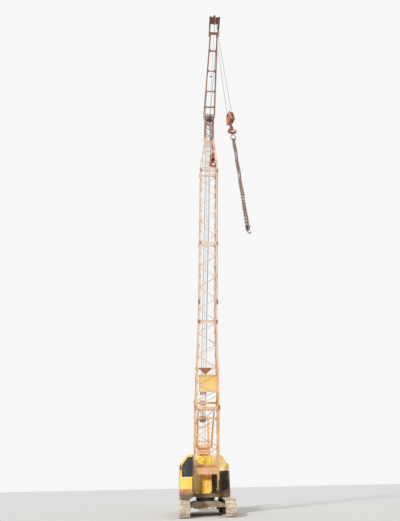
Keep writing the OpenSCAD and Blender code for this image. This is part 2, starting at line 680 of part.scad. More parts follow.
module boom_insert_b() { color("#dc8040") boom_frame() section(st[3][0] + e, st[4][0], 7, 1); }
module boom_insert_c() { color("#dc8040") boom_frame() section(st[4][0] + e, st[5][0], 7, 0); }
module boom_head() {
  color("#d9793a") boom_frame() difference() {
    union() {
      chords(st[5][0] + e, st[6][0]);
      for (i = [6:8]) chords(st[i][0], st[i + 1][0]);
      lattice(st[5][0] + 80, st[6][0] - 60, 1, 1);
      lattice(st[6][0] + 30, st[7][0] - 60, 2, 0);
      // its last bay ends where the pendants pass over it at the highest luff
      lattice(st[8][0] + 60, head_s - 200, 2, 0);
      end_frame(st[5][0] + e, 1);
      for (i = [6:8]) end_frame(st[i][0], -1);
      end_frame(head_s, -1, false);
      // collar below the neck
      for (s = [st[7][0] + 90, st[7][0] + 250]) {
        w = at_st(s, 1) - chord_t;
        translate([-w / 2, 8 - at_st(s, 2) / 2, s]) cube([w, 50, 110]);
      }
      // side plates carrying the sheave shafts and the jib pins
      for (sx = [-1, 1]) {
        translate([sx * plate_x - 12, -neck_d / 2, head_s - 30]) cube([24, neck_d, boom_len - head_s + 30]);
        translate([sx * plate_x - 12, sheave_at[0] - 100, sheave_at[1] - 160]) cube([24, 300, 330]);
        along_x(sx * plate_x, 0, boom_len) cylinder(r = 95, h = 24, center = true);
        translate([sx * 140 - 12, lug_low, stay_s - 120]) cube([24, stay_d + 60 - lug_low, 240]);
        translate([sx > 0 ? 120 : 20 - neck_w / 2, lug_low, stay_s - 100]) cube([neck_w / 2 - 140, 56, 200]);
        // lugs of the jib's rear stays
        translate([sx * 326.3 - 10, st[8][2] / 2 - 20, st[8][0] - 110]) cube([20, 110, 110]);
      }
      // cross tube of the stays above the rear face
      along_x(0, stay_d, stay_s) cylinder(r = 40, h = 300, center = true);
    }
    // bores: [across, along, radius]
    for (q = [[0, boom_len, 35 + e], [guide_at[0], guide_at[1], 41 + e], [sheave_at[0], sheave_at[1], 41 + e]])
      along_x(0, q[0], q[1]) cylinder(r = q[2], h = 2 * neck_w, center = true);
  }
}
// plain board and bracket behind the front lacing: [from, to] across and along the boom
board_s = foot_len + 1050;
board_h = 1180;
module boom_board() {
  y = -boom_d / 2 + chord_leg + e;
  color("#e0a01a") boom_frame() {
    for (s = [board_s + 30, board_s + board_h - 60]) {
      w = at_st(s, 1) - 4;
      translate([-w / 2, y, s]) cube([w, 30, 30]);
    }
    translate([-600, y + 29, board_s]) cube([1400, 16, board_h]);
  }
  color("#a14a2a") boom_frame() {
    s = board_s + board_h + 460;
    w = at_st(s, 1) / 2;
    translate([-w - 90, y, s]) cube([w + 420, 60, 60]);
    translate([0, y + 12, 0]) rotate([90, 0, 0]) linear_extrude(12) polygon([[-w + 160, s + 1], [300, s + 1],
      [-90, s - 400], [-190, s - 400]]);
  }
}
module head_sheaves() {
  color("#6b3d28") boom_frame() {
    for (x = [-150, 0, 150]) along_x(x, sheave_at[0], sheave_at[1]) sheave(230, 80);
    for (x = [-60, 60]) along_x(x, guide_at[0], guide_at[1]) sheave(185, 80);
    for (q = [sheave_at, guide_at]) along_x(0, q[0], q[1]) cylinder(r = 41, h = neck_w - 10, center = true);
  }
}

function jw(t) = lerp(jib_w0, jib_w1, t / (jib_len - 700));
function jd(t) = lerp(640, 420, t / (jib_len - 700));
module jib() {
  l1 = jib_len - 700;
  color("#9a5a3c") jib_frame() {
    for (sx = [-1, 1]) for (sy = [-1, 1])
      seg([sx * jw(160) / 2, sy * jd(160) / 2, 160], [sx * jw(l1) / 2, sy * jd(l1) / 2, l1])
        angle_bar(jib_leg, 8, sx, sy);
    // rungs of the wide faces
    for (t = [770, 1940, 3360, 4690]) for (sy = [-1, 1])
      translate([-jw(t) / 2 + 6, sy * (jd(t) / 2 - 30) - 22, t - 35]) cube([jw(t) - 12, 44, 70]);
    // lacing of the side faces
    for (i = [0:7]) for (sx = [-1, 1]) {
      a = 240 + i * (l1 - 300) / 8;
      b = 240 + (i + 1) * (l1 - 300) / 8;
      k = (i % 2) * 2 - 1;
      lace([sx * (jw(a) / 2 - 14), k * (jd(a) / 2 - 40), a], [sx * (jw(b) / 2 - 14), -k * (jd(b) / 2 - 40), b],
           36, 12, 1);
    }
    // foot forks around the boom head
    for (sx = [-1, 1]) {
      translate([sx * (neck_w / 2 + 40) - 15, -80, 0]) cube([30, 160, 330]);
      along_x(sx * (neck_w / 2 + 40), 0, 0) cylinder(r = 80, h = 30, center = true);
      translate([sx * (neck_w / 2 + 70) - 40, -300, 300]) cube([80, 600, 60]);
    }
    // head plates
    for (sx = [-1, 1]) translate([sx * 315 - 12, -190, l1 - 260]) cube([24, 380, 1200]);
    translate([-320, 120, l1 - 120]) cube([640, 60, 160]);
    translate([-320, 148, jib_len + 198]) cube([640, 40, 40]);
    // shields each side of the falls, and the tip's lamp post
    for (x = [-310, 55]) {
      translate([x, -186, jib_len - 230]) cube([255, 16, 390]);
      translate([x, -171, jib_len - 110]) cube([255, 60, 20]);
    }
    translate([0, 168, jib_len + 210]) rotate([-jtilt, 0, 0]) cylinder(r = 18, h = 260);
  }
  color("#6b3d28") jib_frame() along_x(0, 0, 0) cylinder(r = 35, h = 2 * neck_w / 2 + 170, center = true);
}
module jib_sheave() {
  color("#4c2f22") jib_frame() along_x(0, 0, jib_len) {
    sheave(240, 80);
    cylinder(r = 39.7, h = 606 - 2 * e, center = true);
    for (x = [-170, 170]) translate([0, 0, x]) cylinder(r = 60, h = 260, center = true);
  }
}
mast_a = 41;
mast_l = 2200;
module mast_frame() {
  translate([0, neck_y, neck_z]) rotate([-mast_a, 0, 0]) children();
}
module jib_mast() {
  color("#9a5a3c") mast_frame() {
    for (sx = [-1, 1])
      seg([sx * (neck_w / 2 + 90), 0, 60], [sx * 150, 0, mast_l]) square([60, 80], center = true);
    along_x(0, 0, mast_l) cylinder(r = 45, h = 420, center = true);
    translate([-330, -30, 1000]) cube([660, 60, 60]);
    for (sx = [-1, 1]) difference() {
      along_x(sx * (neck_w / 2 + 90), 0, 0) cylinder(r = 70, h = 30, center = true);
      along_x(sx * (neck_w / 2 + 90), 0, 0) cylinder(r = 35 + e, h = 40, center = true);
    }
  }
}
mast_y = neck_y + mast_l * sin(mast_a);
mast_z = neck_z + mast_l * cos(mast_a);
// ends of the rear stays beside their lugs, in boom terms
lug_s = st[8][0] - 60;
lug_d = st[8][2] / 2 + 40;
module jib_stays() {
  color("#3c3430") for (sx = [-1, 1]) {
    rod([sx * 227, mast_y - 20, mast_z], [sx * 285, tip_y + 300, tip_z + 160], 16);
    rod([sx * 227, mast_y + 20, mast_z], [sx * 300, pin_y - lug_s * cos(boom_elev) + lug_d * sin(boom_elev),
                                     pin_z + lug_s * sin(boom_elev) + lug_d * cos(boom_elev)], 16);
  }
}

// floating bail: sheave block between two cheeks on the stay line
module bail() {
  color("#8a5436") stay_frame() {
    for (x = [-260, 240]) translate([x, -110, bail_s - 620]) cube([20, 220, 1180]);
    along_x(0, 0, bail_s - 420) cylinder(r = 44.7, h = 500, center = true);
    for (x = [-165, -55, 55, 165]) along_x(x, 0, bail_s - 420) sheave(190, 70);
    translate([-245, -60, bail_s + 300]) cube([490, 120, 60]);
    along_x(0, 0, bail_s + 480) cylinder(r = 36, h = 500, center = true);
  }
}
module pendants() {
  color("#3c3430") stay_frame() for (sx = [-1, 1]) {
    rod([sx * 190, 0, bail_s + 560], [sx * 190, 0, stay_l - 160], 20);
    difference() {
      translate([sx * 190 - 13, -60, bail_s + 390]) cube([26, 120, 200]);
      along_x(sx * 190, 0, bail_s + 480) cylinder(r = 36 + e, h = 40, center = true);
    }
    translate([sx * 190 - 13, -60, stay_l - 180]) cube([26, 120, 240]);
    for (q = [0.27, 0.5, 0.74]) translate([sx * 190 - 13, -45, stay_l * q]) cube([26, 90, 420]);
  }
}

module backstop_tubes() {
  color("#d08a2e") bs_frame() for (s = [-1, 1]) difference() {
    union() {
      translate([s * bs_x, 0, 40]) cylinder(r = 62, h = 2260);
      along_x(s * bs_x, 0, 0) cylinder(r = 75, h = 60, center = true);
    }
    translate([s * bs_x, 0, 250]) cylinder(r = 46, h = 2200);
    along_x(s * bs_x, 0, 0) cylinder(r = 30.3, h = 80, center = true);
  }
}
module backstop_rods() {
  color("#4a3a30") bs_frame() for (s = [-1, 1]) {
    translate([s * bs_x, 0, 900]) cylinder(r = 45.7, h = bs_l - 900 - 60);
    difference() {
      along_x(s * bs_x, 0, bs_l) cylinder(r = 75, h = 60, center = true);
      along_x(s * bs_x, 0, bs_l) cylinder(r = 30, h = 80, center = true);
    }
  }
}

// hook outline, eye at the origin, opening towards +X
module hook_plate(r, t) {
  rotate([90, 0, 0]) linear_extrude(t, center = true) difference() {
    union() {
      translate([0, -1.75 * r]) circle(1.55 * r);
      translate([-0.32 * r, -1.2 * r]) square([0.64 * r, 1.6 * r]);
    }
    translate([0.12 * r, -1.7 * r]) circle(0.85 * r);
    translate([0.42 * r, -1.7 * r]) square([2 * r, 1.9 * r]);
  }
}
mb_r = 200;
mb_axle = 225;
jb_r = 175;
jb_axle = 200;
mb_y = pin_y - sheave_at[1] * cos(boom_elev) + sheave_at[0] * sin(boom_elev);
mb_z = pin_z + sheave_at[1] * sin(boom_elev) + sheave_at[0] * cos(boom_elev);
module cheek(x, t, top, bottom, h) {
  along_x(x - t / 2, 0, 0) linear_extrude(t)
    polygon([[0, -top / 2], [h, -bottom / 2], [h, bottom / 2], [0, top / 2]]);
}
module main_block() {
  color("#d8622a") translate([0, mb_y, mb_top]) rotate([0, 0, block_turn]) {
    for (x = [-108, 108]) cheek(x, 24, 360, 420, 780);
    translate([-9, -150, -760]) cube([18, 300, 700]);
    // covers below the sheaves
    for (y = [-188, 176]) translate([-97, y, -720]) cube([194, 12, 285]);
  }
  color("#7a2f1e") translate([0, mb_y, mb_top]) {
    rotate([0, 0, block_turn]) {
      along_x(0, 0, -mb_axle) cylinder(r = 44, h = 216, center = true);
      for (x = [-52, 52]) along_x(x, 0, -mb_axle) sheave(mb_r, 70);
      translate([-97, -70, -770]) cube([194, 140, 180]);
    }
    cylinder_at(0, 0, mb_hook - mb_top + 40, 50, 140);
    translate([0, 0, mb_hook - mb_top]) hook_plate(170, 90);
  }
}
function turned(x, y, a) = [x * cos(a) - y * sin(a), x * sin(a) + y * cos(a)];
module cylinder_at(x, y, z, r, h) {
  translate([x, y, z]) cylinder(r = r, h = h);
}
module main_falls() {
  color("#2f2b29") {
    // [x at the head, x at the block, front or rear of the sheaves]
    for (q = [[-150, -52, -1], [0, -52, 1], [0, 52, -1], [150, 52, 1]]) {
      foot = turned(q[1], q[2] * (mb_r - groove), block_turn);
      rod([q[0], mb_y + q[2] * (230 - groove), mb_z], [foot[0], mb_y + foot[1], mb_top - mb_axle], rope_r);
    }
  }
}
jb_y = tip_y;
module jib_block() {
  color("#e08a55") translate([0, jb_y, jb_top]) rotate([0, 0, 2 * block_turn]) {
    for (x = [-85, 85]) cheek(x, 20, 300, 430, 760);
  }
  color("#7a2f1e") translate([0, jb_y, jb_top]) {
    rotate([0, 0, 2 * block_turn]) {
      along_x(0, 0, -jb_axle) cylinder(r = 39.7, h = 170, center = true);
      along_x(0, 0, -jb_axle) sheave(jb_r, 80);
      translate([-76, -150, -740]) cube([152, 300, 340]);
    }
    cylinder_at(0, 0, jb_hook - jb_top + 20, 40, 520);
    translate([0, 0, jb_hook - jb_top]) hook_plate(120, 70);
  }
}
module jib_falls() {
  color("#2f2b29") for (q = [-1, 1]) {
    foot = turned(0, q * (jb_r - groove), 2 * block_turn);
    rod([0, tip_y + q * (240 - groove), tip_z], [foot[0], jb_y + foot[1], jb_top - jb_axle], rope_r);
  }
}
// chain sling hanging from the jib hook: ring, legs of long links and hooks
module link(l, w, r) {
  rotate([90, 0, 0]) linear_extrude(2 * r, center = true) difference() {
    square([w, l], center = true);
    square([w - 4 * r, l - 4 * r], center = true);
  }
}
module sling() {
  n = 16;
  lr = 9;
  ring_c = jb_hook - 204 - 102 - 182 + 1.5;
  top = ring_c - 182 + e;
  l = (top - sling_end - 264 - 32) / n + 4 * lr - e;
  color("#8a6a5c") translate([0, jb_y, 0]) {
    translate([14.4, 0, ring_c]) rotate([0, 0, 90]) link(420, 190, 14);
    for (x = [-22, 50]) for (i = [0:n - 1]) translate([x, 0, top + 2 * lr - l / 2 - i * (l - 4 * lr + e)])
      rotate([0, 0, i % 2 * 90]) link(l, 60, lr);
    for (k = [-1, 1]) translate([14 + k * 36, k * 10, sling_end + 264]) rotate([0, 0, 90 + k * 12])
      hook_plate(80, 30);
  }
}

carbody();
slew_ring();
track_frames();
track_left();
track_right();
rollers();
idlers();
sprockets();
deck();
counterweight();
house_shell();
engine();
front_box();
gantry();
gantry_block();
winch();
cab_shell();
cab_glass();
cab_interior();
cab_door();
door_left_a();
door_left_b();
door_right_a();
door_right_b();
door_rear();
boom_foot();
boom_insert_a();
boom_insert_b();
boom_insert_c();
boom_head();
boom_board();
head_sheaves();
jib();
jib_mast();
jib_stays();
jib_sheave();
bail();
pendants();
backstop_tubes();
backstop_rods();
main_block();
main_falls();
jib_block();
jib_falls();
sling();
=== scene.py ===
import bpy
import bmesh
import json
import math
import random
from mathutils import Matrix, Vector

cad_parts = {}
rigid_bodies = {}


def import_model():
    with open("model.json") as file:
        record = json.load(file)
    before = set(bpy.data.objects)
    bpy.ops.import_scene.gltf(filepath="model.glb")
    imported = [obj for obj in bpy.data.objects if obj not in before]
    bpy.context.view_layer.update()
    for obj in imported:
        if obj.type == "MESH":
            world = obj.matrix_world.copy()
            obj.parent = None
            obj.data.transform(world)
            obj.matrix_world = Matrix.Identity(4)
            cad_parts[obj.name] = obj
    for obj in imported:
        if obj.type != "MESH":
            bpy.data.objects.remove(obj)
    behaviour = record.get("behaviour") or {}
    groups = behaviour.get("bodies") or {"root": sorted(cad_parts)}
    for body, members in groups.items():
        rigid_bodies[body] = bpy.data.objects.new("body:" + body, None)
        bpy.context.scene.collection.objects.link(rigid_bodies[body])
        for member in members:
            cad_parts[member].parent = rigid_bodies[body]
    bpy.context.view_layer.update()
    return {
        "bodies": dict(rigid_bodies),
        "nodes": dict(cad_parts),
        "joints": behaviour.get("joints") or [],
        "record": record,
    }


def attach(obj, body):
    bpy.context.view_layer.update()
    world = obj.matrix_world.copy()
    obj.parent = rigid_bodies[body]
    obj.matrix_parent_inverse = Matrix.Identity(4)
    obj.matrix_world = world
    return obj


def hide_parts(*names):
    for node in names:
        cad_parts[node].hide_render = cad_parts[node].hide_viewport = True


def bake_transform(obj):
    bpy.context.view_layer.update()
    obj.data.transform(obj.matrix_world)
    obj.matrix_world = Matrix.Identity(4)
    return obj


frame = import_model()
nodes = frame["nodes"]
print("frame loaded:", len(nodes), "nodes")

# the photograph was taken at eye height in front of the crane, tilted up
shot = dict(place=(-1.90, -27.32, 1.67), yaw=3.92, pitch=37.61, roll=1.18, focal=292.4, longSide=521, far=500)


def makeCamera():
    yaw, pitch, roll = (math.radians(shot[k]) for k in ("yaw", "pitch", "roll"))
    ahead = Vector((math.sin(yaw), math.cos(yaw), 0))
    side = Vector((math.cos(yaw), -math.sin(yaw), 0))
    forward = ahead * math.cos(pitch) + Vector((0, 0, math.sin(pitch)))
    up = Vector((0, 0, math.cos(pitch))) - ahead * math.sin(pitch)
    right = side * math.cos(roll) - up * math.sin(roll)
    top = side * math.sin(roll) + up * math.cos(roll)
    lens = bpy.data.cameras.new("camera")
    lens.lens = shot["focal"] / shot["longSide"] * lens.sensor_width
    lens.clip_end = shot["far"]
    camera = bpy.data.objects.new("camera", lens)
    turn = Matrix((right, top, -forward)).transposed().to_4x4()
    camera.matrix_world = Matrix.Translation(shot["place"]) @ turn
    bpy.context.scene.collection.objects.link(camera)
    bpy.context.scene.camera = camera


makeCamera()


# shader maths as plain expressions
class Wire:
    def __init__(self, sheet, socket):
        self.sheet = sheet
        self.socket = socket

    def math(self, operation, *others):
        return self.sheet.node("ShaderNodeMath", dict(operation=operation), [self, *others])

    def __add__(self, other):
        return self.math("ADD", other)

    def __sub__(self, other):
        return self.math("SUBTRACT", other)

    def __mul__(self, other):
        return self.math("MULTIPLY", other)

    def __rsub__(self, other):
        return self.sheet.node("ShaderNodeMath", dict(operation="SUBTRACT"), [other, self])

    __radd__ = __add__
    __rmul__ = __mul__

    def step(self, low, high):  # 0 below low, 1 above high, smooth between
        return self.sheet.node("ShaderNodeMapRange", dict(interpolation_type="SMOOTHSTEP"),
                               {"Value": self, "From Min": low, "From Max": high})


class Sheet:  # one material and its nodes
    def __init__(self, name):
        self.material = bpy.data.materials.new(name)
        self.material.use_nodes = True
        self.tree = self.material.node_tree
        self.shader = self.tree.nodes["Principled BSDF"]
        self.place = self.node("ShaderNodeTexCoord", {}, {}, "Object")

    def node(self, kind, settings, values, out=0):
        made = self.tree.nodes.new(kind)
        for key, value in settings.items():
            setattr(made, key, value)
        pairs = values.items() if isinstance(values, dict) else enumerate(values)
        for key, value in pairs:
            self.feed(made.inputs[key], value)
        return Wire(self, made.outputs[out])

    def feed(self, socket, value):
        if isinstance(value, Wire):
            self.tree.links.new(value.socket, socket)
        else:
            socket.default_value = value

    def set(self, **values):  # shader sockets by name, _ for a space
        for key, value in values.items():
            self.feed(self.shader.inputs[key.replace("_", " ")], value)

    def noise(self, scale, detail, rough, stretch=None):
        where = self.place
        if stretch:
            where = self.node("ShaderNodeMapping", {}, {"Vector": where, "Scale": stretch})
        return self.node("ShaderNodeTexNoise", {}, {"Vector": where, "Scale": scale, "Detail": detail,
                                                    "Roughness": rough})

    def cells(self, scale):
        return self.node("ShaderNodeTexVoronoi", {}, {"Vector": self.place, "Scale": scale}, "Distance")

    def axis(self, letter):
        return self.node("ShaderNodeSeparateXYZ", {}, [self.place], letter)

    def mix(self, factor, first, second):
        return self.node("ShaderNodeMix", dict(data_type="RGBA"), {0: factor, 6: first, 7: second}, 2)

    def bump(self, height, strength, distance):
        return self.node("ShaderNodeBump", {}, {"Strength": strength, "Distance": distance, "Height": height})


def rgb(red, green, blue):
    return (red, green, blue, 1)


def shade(colour, k):
    return rgb(colour[0] * k, colour[1] * k, colour[2] * k)


# scales of the patterns on Object coordinates, so larger numbers are smaller spots
paintGrain = dict(broad=0.9, streak=2.2, grime=3.1, fine=14, speck=42, streakStretch=(6, 6, 0.5), edge=0.012)
rustTones = dict(grime=rgb(0.36, 0.30, 0.22), paintDark=rgb(0.16, 0.055, 0.025),
                 paintLight=rgb(0.33, 0.13, 0.05), steelDark=rgb(0.14, 0.05, 0.025),
                 steelLight=rgb(0.36, 0.16, 0.07))


# faded enamel over steel: patchy tone, run-down streaks, rust freckles and dust;
# areas of (limits by axis, coat, worn) change the tone where the machine is painted otherwise, and some of
# them are painted light and painted shade
def oldPaint(name, coat, worn, rust=0.5, dust=0.3, rough=0.5, areas=()):
    s, g = Sheet(name), paintGrain
    streakTone = shade(worn, 0.62)
    for limits, areaCoatAndLight, areaWornAndLight in areas:
        inside = 1.0
        for letter, (low, high, *own) in limits.items():
            at, soft = s.axis(letter), own[0] if own else g["edge"]
            inside = at.step(low - soft, low + soft) * (1 - at.step(high - soft, high + soft)) * inside
        coat, worn = s.mix(inside, coat, areaCoatAndLight), s.mix(inside, worn, areaWornAndLight)
    broad = s.noise(g["broad"], 5, 0.6)
    fine = s.noise(g["fine"], 6, 0.65)
    streak = s.noise(g["streak"], 5, 0.6, stretch=g["streakStretch"])
    speck = s.noise(g["speck"], 3, 0.7)
    tone = s.mix(broad.step(0.38, 0.68), coat, worn)
    tone = s.mix(streak.step(0.55, 0.78) * 0.35, tone, streakTone)
    grime = s.noise(g["grime"], 6, 0.7).step(0.5, 0.8) * dust
    tone = s.mix(grime, tone, rustTones["grime"])
    level = 0.755 - 0.16 * rust
    spots = (fine * 0.65 + speck * 0.35 + broad * 0.18).step(level, level + 0.06)
    rusty = s.mix(speck.step(0.35, 0.65), rustTones["paintDark"], rustTones["paintLight"])
    tone = s.mix(spots, tone, rusty)
    s.set(Base_Color=tone, Roughness=rough + spots * 0.35 + (fine - 0.5) * 0.25, Specular_IOR_Level=0.35)
    s.set(Normal=s.bump(fine * 0.4 + speck * 0.2 - spots * 0.5, 0.35, 0.004))
    return s.material


def bareSteel(name, dark, light, rust, rough=0.45):
    s = Sheet(name)
    clean = 0.7  # metallic where there is no rust
    broad = s.noise(3, 5, 0.6)
    fine = s.noise(30, 5, 0.7)
    rusty = (broad * 0.6 + fine * 0.4).step(0.60 - 0.15 * rust, 0.72 - 0.1 * rust)
    tone = s.mix(fine.step(0.3, 0.7), dark, light)
    tone = s.mix(rusty * 0.8, tone, s.mix(fine, rustTones["steelDark"], rustTones["steelLight"]))
    s.set(Base_Color=tone, Metallic=clean - rusty * clean * 0.9, Roughness=rough + rusty * 0.4 + fine * 0.1)
    s.set(Normal=s.bump(fine, 0.3, 0.003))
    return s.material


def dustySteel(name, steel, dust, amount, stain=rgb(0.30, 0.17, 0.10)):
    s = Sheet(name)
    broad = s.noise(1.8, 6, 0.65)
    fine = s.noise(26, 6, 0.7)
    clod = s.cells(9)
    cover = (broad * 0.7 + fine * 0.3 + (0.5 - clod) * 0.25).step(0.62 - 0.3 * amount, 0.72 - 0.12 * amount)
    earth = s.mix(fine, shade(dust, 0.72), shade(dust, 1.12))
    tone = s.mix(cover, s.mix(fine, steel, stain), earth)
    s.set(Base_Color=tone, Metallic=(1 - cover) * 0.5, Roughness=0.6 + cover * 0.35)
    s.set(Normal=s.bump(fine * 0.6 + cover * 0.7 + broad * 0.3, 0.5, 0.012))
    return s.material


def tintedGlass(name):
    s = Sheet(name)
    smear = s.noise(5, 5, 0.6, stretch=(1, 1, 0.35))
    s.set(Base_Color=s.mix(smear.step(0.45, 0.8) * 0.5, rgb(0.02, 0.024, 0.03), rgb(0.16, 0.15, 0.13)))
    s.set(Roughness=0.06 + smear.step(0.5, 0.8) * 0.35, Alpha=0.72 + smear.step(0.4, 0.8) * 0.2)
    s.set(Specular_IOR_Level=0.7)
    s.material.blend_method = "BLEND"
    return s.material


def lampLens(name):
    s = Sheet(name)
    ribs = (s.axis("X") * 260).math("SINE")
    s.set(Base_Color=rgb(0.55, 0.44, 0.33), Roughness=0.12, Normal=s.bump(ribs, 0.3, 0.002))
    return s.material


def wornCover(name, colour):
    s = Sheet(name)
    grain = s.cells(220)
    rub = s.noise(5, 5, 0.6).step(0.5, 0.75)
    s.set(Base_Color=s.mix(rub * 0.5, colour, shade(colour, 2.4)), Roughness=0.55 + rub * 0.2)
    s.set(Normal=s.bump(grain, 0.25, 0.001))
    return s.material


def ropeFinish(name, dark, light):
    s = Sheet(name)
    lay = s.noise(60, 3, 0.6, stretch=(1, 1, 0.12))
    patch = s.noise(1.2, 4, 0.6)
    s.set(Base_Color=s.mix(lay.step(0.4, 0.6) * 0.6 + patch.step(0.5, 0.7) * 0.3, dark, light))
    s.set(Metallic=0.45, Roughness=0.55 + patch * 0.2, Normal=s.bump(lay, 0.4, 0.004))
    return s.material


# hook block: cheeks painted pale as painted sunlight over a middle painted dark as rust and painted shade,
# standing turned about its own upright
def blockPaintAndLight(name, centre, turn, inner, foot):
    s = Sheet(name)
    c, k = math.cos(math.radians(turn)), math.sin(math.radians(turn))
    over = (s.axis("X") - centre[0]) * c + (s.axis("Y") - centre[1]) * k
    cheek = over.math("ABSOLUTE").step(inner, inner + 0.004) * s.axis("Z").step(foot, foot + 0.01)
    fine, broad = s.noise(18, 6, 0.65), s.noise(3.5, 5, 0.6)
    rusty = s.mix(fine.step(0.35, 0.65), rgb(0.24, 0.055, 0.035), rgb(0.40, 0.15, 0.10))
    sunlitPale = s.mix(broad.step(0.4, 0.65), rgb(0.68, 0.33, 0.17), rgb(0.42, 0.18, 0.12))
    sunlitPale = s.mix((fine * 0.7 + broad * 0.3).step(0.56, 0.64), sunlitPale, rusty)
    s.set(Base_Color=s.mix(cheek, rusty, sunlitPale), Roughness=0.55 + fine * 0.25, Specular_IOR_Level=0.35)
    s.set(Normal=s.bump(fine, 0.3, 0.004))
    return s.material


# parts of a node that are painted otherwise, or carry painted light and painted shade:
# limits by axis, with a softer edge as a third number, coat, worn
boomAreas = [(dict(Z=(9.5, 60, 3.5)), rgb(0.80, 0.56, 0.40), rgb(0.90, 0.76, 0.64)),
             (dict(Z=(24.9, 60, 0.15)), rgb(0.38, 0.16, 0.10), rgb(0.62, 0.38, 0.28))]
cabAreasAndShade = [(dict(Z=(1.262, 1.50), Y=(-3, -2.2)), rgb(0.62, 0.28, 0.05), rgb(0.42, 0.17, 0.06)),
            # the cab below its lamp row is painted dark as painted shade
            (dict(Z=(0, 1.262)), rgb(0.14, 0.085, 0.045), rgb(0.20, 0.13, 0.07)),
            (dict(Z=(2.118, 2.168), Y=(-3, -2.246)), rgb(0.82, 0.74, 0.58), rgb(0.86, 0.80, 0.66))]
# the house front between the cab and the valve box is painted bright yellow as painted sunlight
houseAreasAndLight = [(dict(X=(-1.0, -0.28), Y=(-1, -0.55)), rgb(0.96, 0.74, 0.20), rgb(0.97, 0.80, 0.34)),
              # the house front right of the valve box is painted near black: a dark radiator face, mostly
              # painted shade
              (dict(X=(0.42, 1.78), Y=(-1, -0.535), Z=(1.26, 2.54)),
               rgb(0.105, 0.085, 0.07), rgb(0.16, 0.13, 0.10)),
              (dict(X=(0.54, 0.74), Z=(3.48, 9)), rgb(0.10, 0.06, 0.045), rgb(0.17, 0.11, 0.08))]
# valve box: the plate on top is painted bright yellow, partly as painted sunlight; the block at its foot is
# yellow paint
frontAreasAndLight = [(dict(Z=(2.70, 9)), rgb(0.95, 0.70, 0.05), rgb(0.96, 0.78, 0.14)),
              (dict(Z=(-1, 1.325)), rgb(0.93, 0.62, 0.06), rgb(0.94, 0.68, 0.12)),
              # the middle of the box's front is painted lighter as painted sunlight
              (dict(Z=(1.325, 2.05), X=(-0.26, 0.38)), rgb(0.86, 0.50, 0.07), rgb(0.90, 0.60, 0.13))]
boardAreas = [(dict(Z=(8.13, 12)), rgb(0.36, 0.13, 0.07), rgb(0.56, 0.27, 0.17))]
# the jib's tip is painted near black as painted shade
jibTipShade = [(dict(Y=(-25, -20.62)), rgb(0.10, 0.045, 0.035), rgb(0.20, 0.10, 0.08))]
# the deck keeps its orange-yellow paint only within these limits; elsewhere its dark coat is painted shade
deckAreas = [(dict(Z=(1.235, 9), X=(-9, 0.42)), rgb(0.86, 0.52, 0.09), rgb(0.88, 0.60, 0.18))]

# each finish: how it is made, two tones, then what is its own
recipes = dict(
    boomPaint=(oldPaint, (0.80, 0.44, 0.21), (0.88, 0.63, 0.40),
               dict(rust=0.55, dust=0.25, areas=boomAreas)),
    headPaint=(oldPaint, (0.26, 0.09, 0.055), (0.44, 0.20, 0.13), dict(rust=0.7, dust=0.1)),
    cabPaint=(oldPaint, (0.86, 0.55, 0.045), (0.90, 0.66, 0.16),
              dict(rust=0.15, rough=0.42, areas=cabAreasAndShade)),
    housePaint=(oldPaint, (0.83, 0.62, 0.20), (0.90, 0.74, 0.40),
                dict(rust=0.15, dust=0.25, areas=houseAreasAndLight)),
    doorPaint=(oldPaint, (0.84, 0.60, 0.12), (0.90, 0.70, 0.26), dict(rust=0.2)),
    # the valve box's orange-brown coat is its paint darkened as painted shade
    frontPaint=(oldPaint, (0.60, 0.28, 0.05), (0.78, 0.42, 0.09),
                dict(rust=0.3, dust=0.2, areas=frontAreasAndLight)),
    gantryPaint=(oldPaint, (0.74, 0.38, 0.14), (0.82, 0.52, 0.27), dict(rust=0.45)),
    boardPaint=(oldPaint, (0.93, 0.62, 0.22), (0.95, 0.70, 0.34),
                dict(rust=0.15, dust=0.08, areas=boardAreas)),
    jibPaint=(oldPaint, (0.34, 0.14, 0.09), (0.66, 0.42, 0.32), dict(rust=0.75, dust=0.1, areas=jibTipShade)),
    # the deck's dark coat is painted shade under the house
    platformPaint=(oldPaint, (0.14, 0.085, 0.045), (0.20, 0.13, 0.07), dict(dust=0.4, areas=deckAreas)),
    ballastPaint=(oldPaint, (0.80, 0.52, 0.07), (0.84, 0.60, 0.16), dict(rust=0.3, dust=0.4)),
    trackSteel=(dustySteel, (0.38, 0.32, 0.25), (0.76, 0.66, 0.51),
                dict(amount=0.95, stain=rgb(0.42, 0.34, 0.26))),
    frameSteel=(dustySteel, (0.26, 0.19, 0.12), (0.50, 0.43, 0.33), dict(amount=0.65)),
    engineIron=(dustySteel, (0.10, 0.11, 0.11), (0.20, 0.18, 0.15), dict(amount=0.3)),
    darkSteel=(bareSteel, (0.05, 0.045, 0.04), (0.14, 0.12, 0.10), dict(rust=0.5)),
    rodSteel=(bareSteel, (0.20, 0.19, 0.18), (0.36, 0.34, 0.32), dict(rough=0.35, rust=0.2)),
    chainSteel=(bareSteel, (0.18, 0.115, 0.09), (0.36, 0.24, 0.19), dict(rough=0.5, rust=0.6)),
    wireRope=(ropeFinish, (0.045, 0.04, 0.038), (0.18, 0.16, 0.14), {}),
)
finishes = {}
for name, (make, first, second, own) in recipes.items():
    finishes[name] = make(name, rgb(*first), rgb(*second), **own)
finishes.update(
    # the hook blocks' pale cheeks are painted sunlight, their dark middles partly painted shade
    mainBlockPaint=blockPaintAndLight("mainBlockPaint", (0, -15.05), 11, 0.093, 20.2),
    jibBlockPaint=blockPaintAndLight("jibBlockPaint", (0, -21.0), 22, 0.073, 14.14),
    rubber=wornCover("rubber", rgb(0.022, 0.021, 0.020)),
    seatCover=wornCover("seatCover", rgb(0.035, 0.03, 0.028)),
    lampGlass=lampLens("lampGlass"),
    cabGlass=tintedGlass("cabGlass"),
)
print("finishes made:", len(finishes))

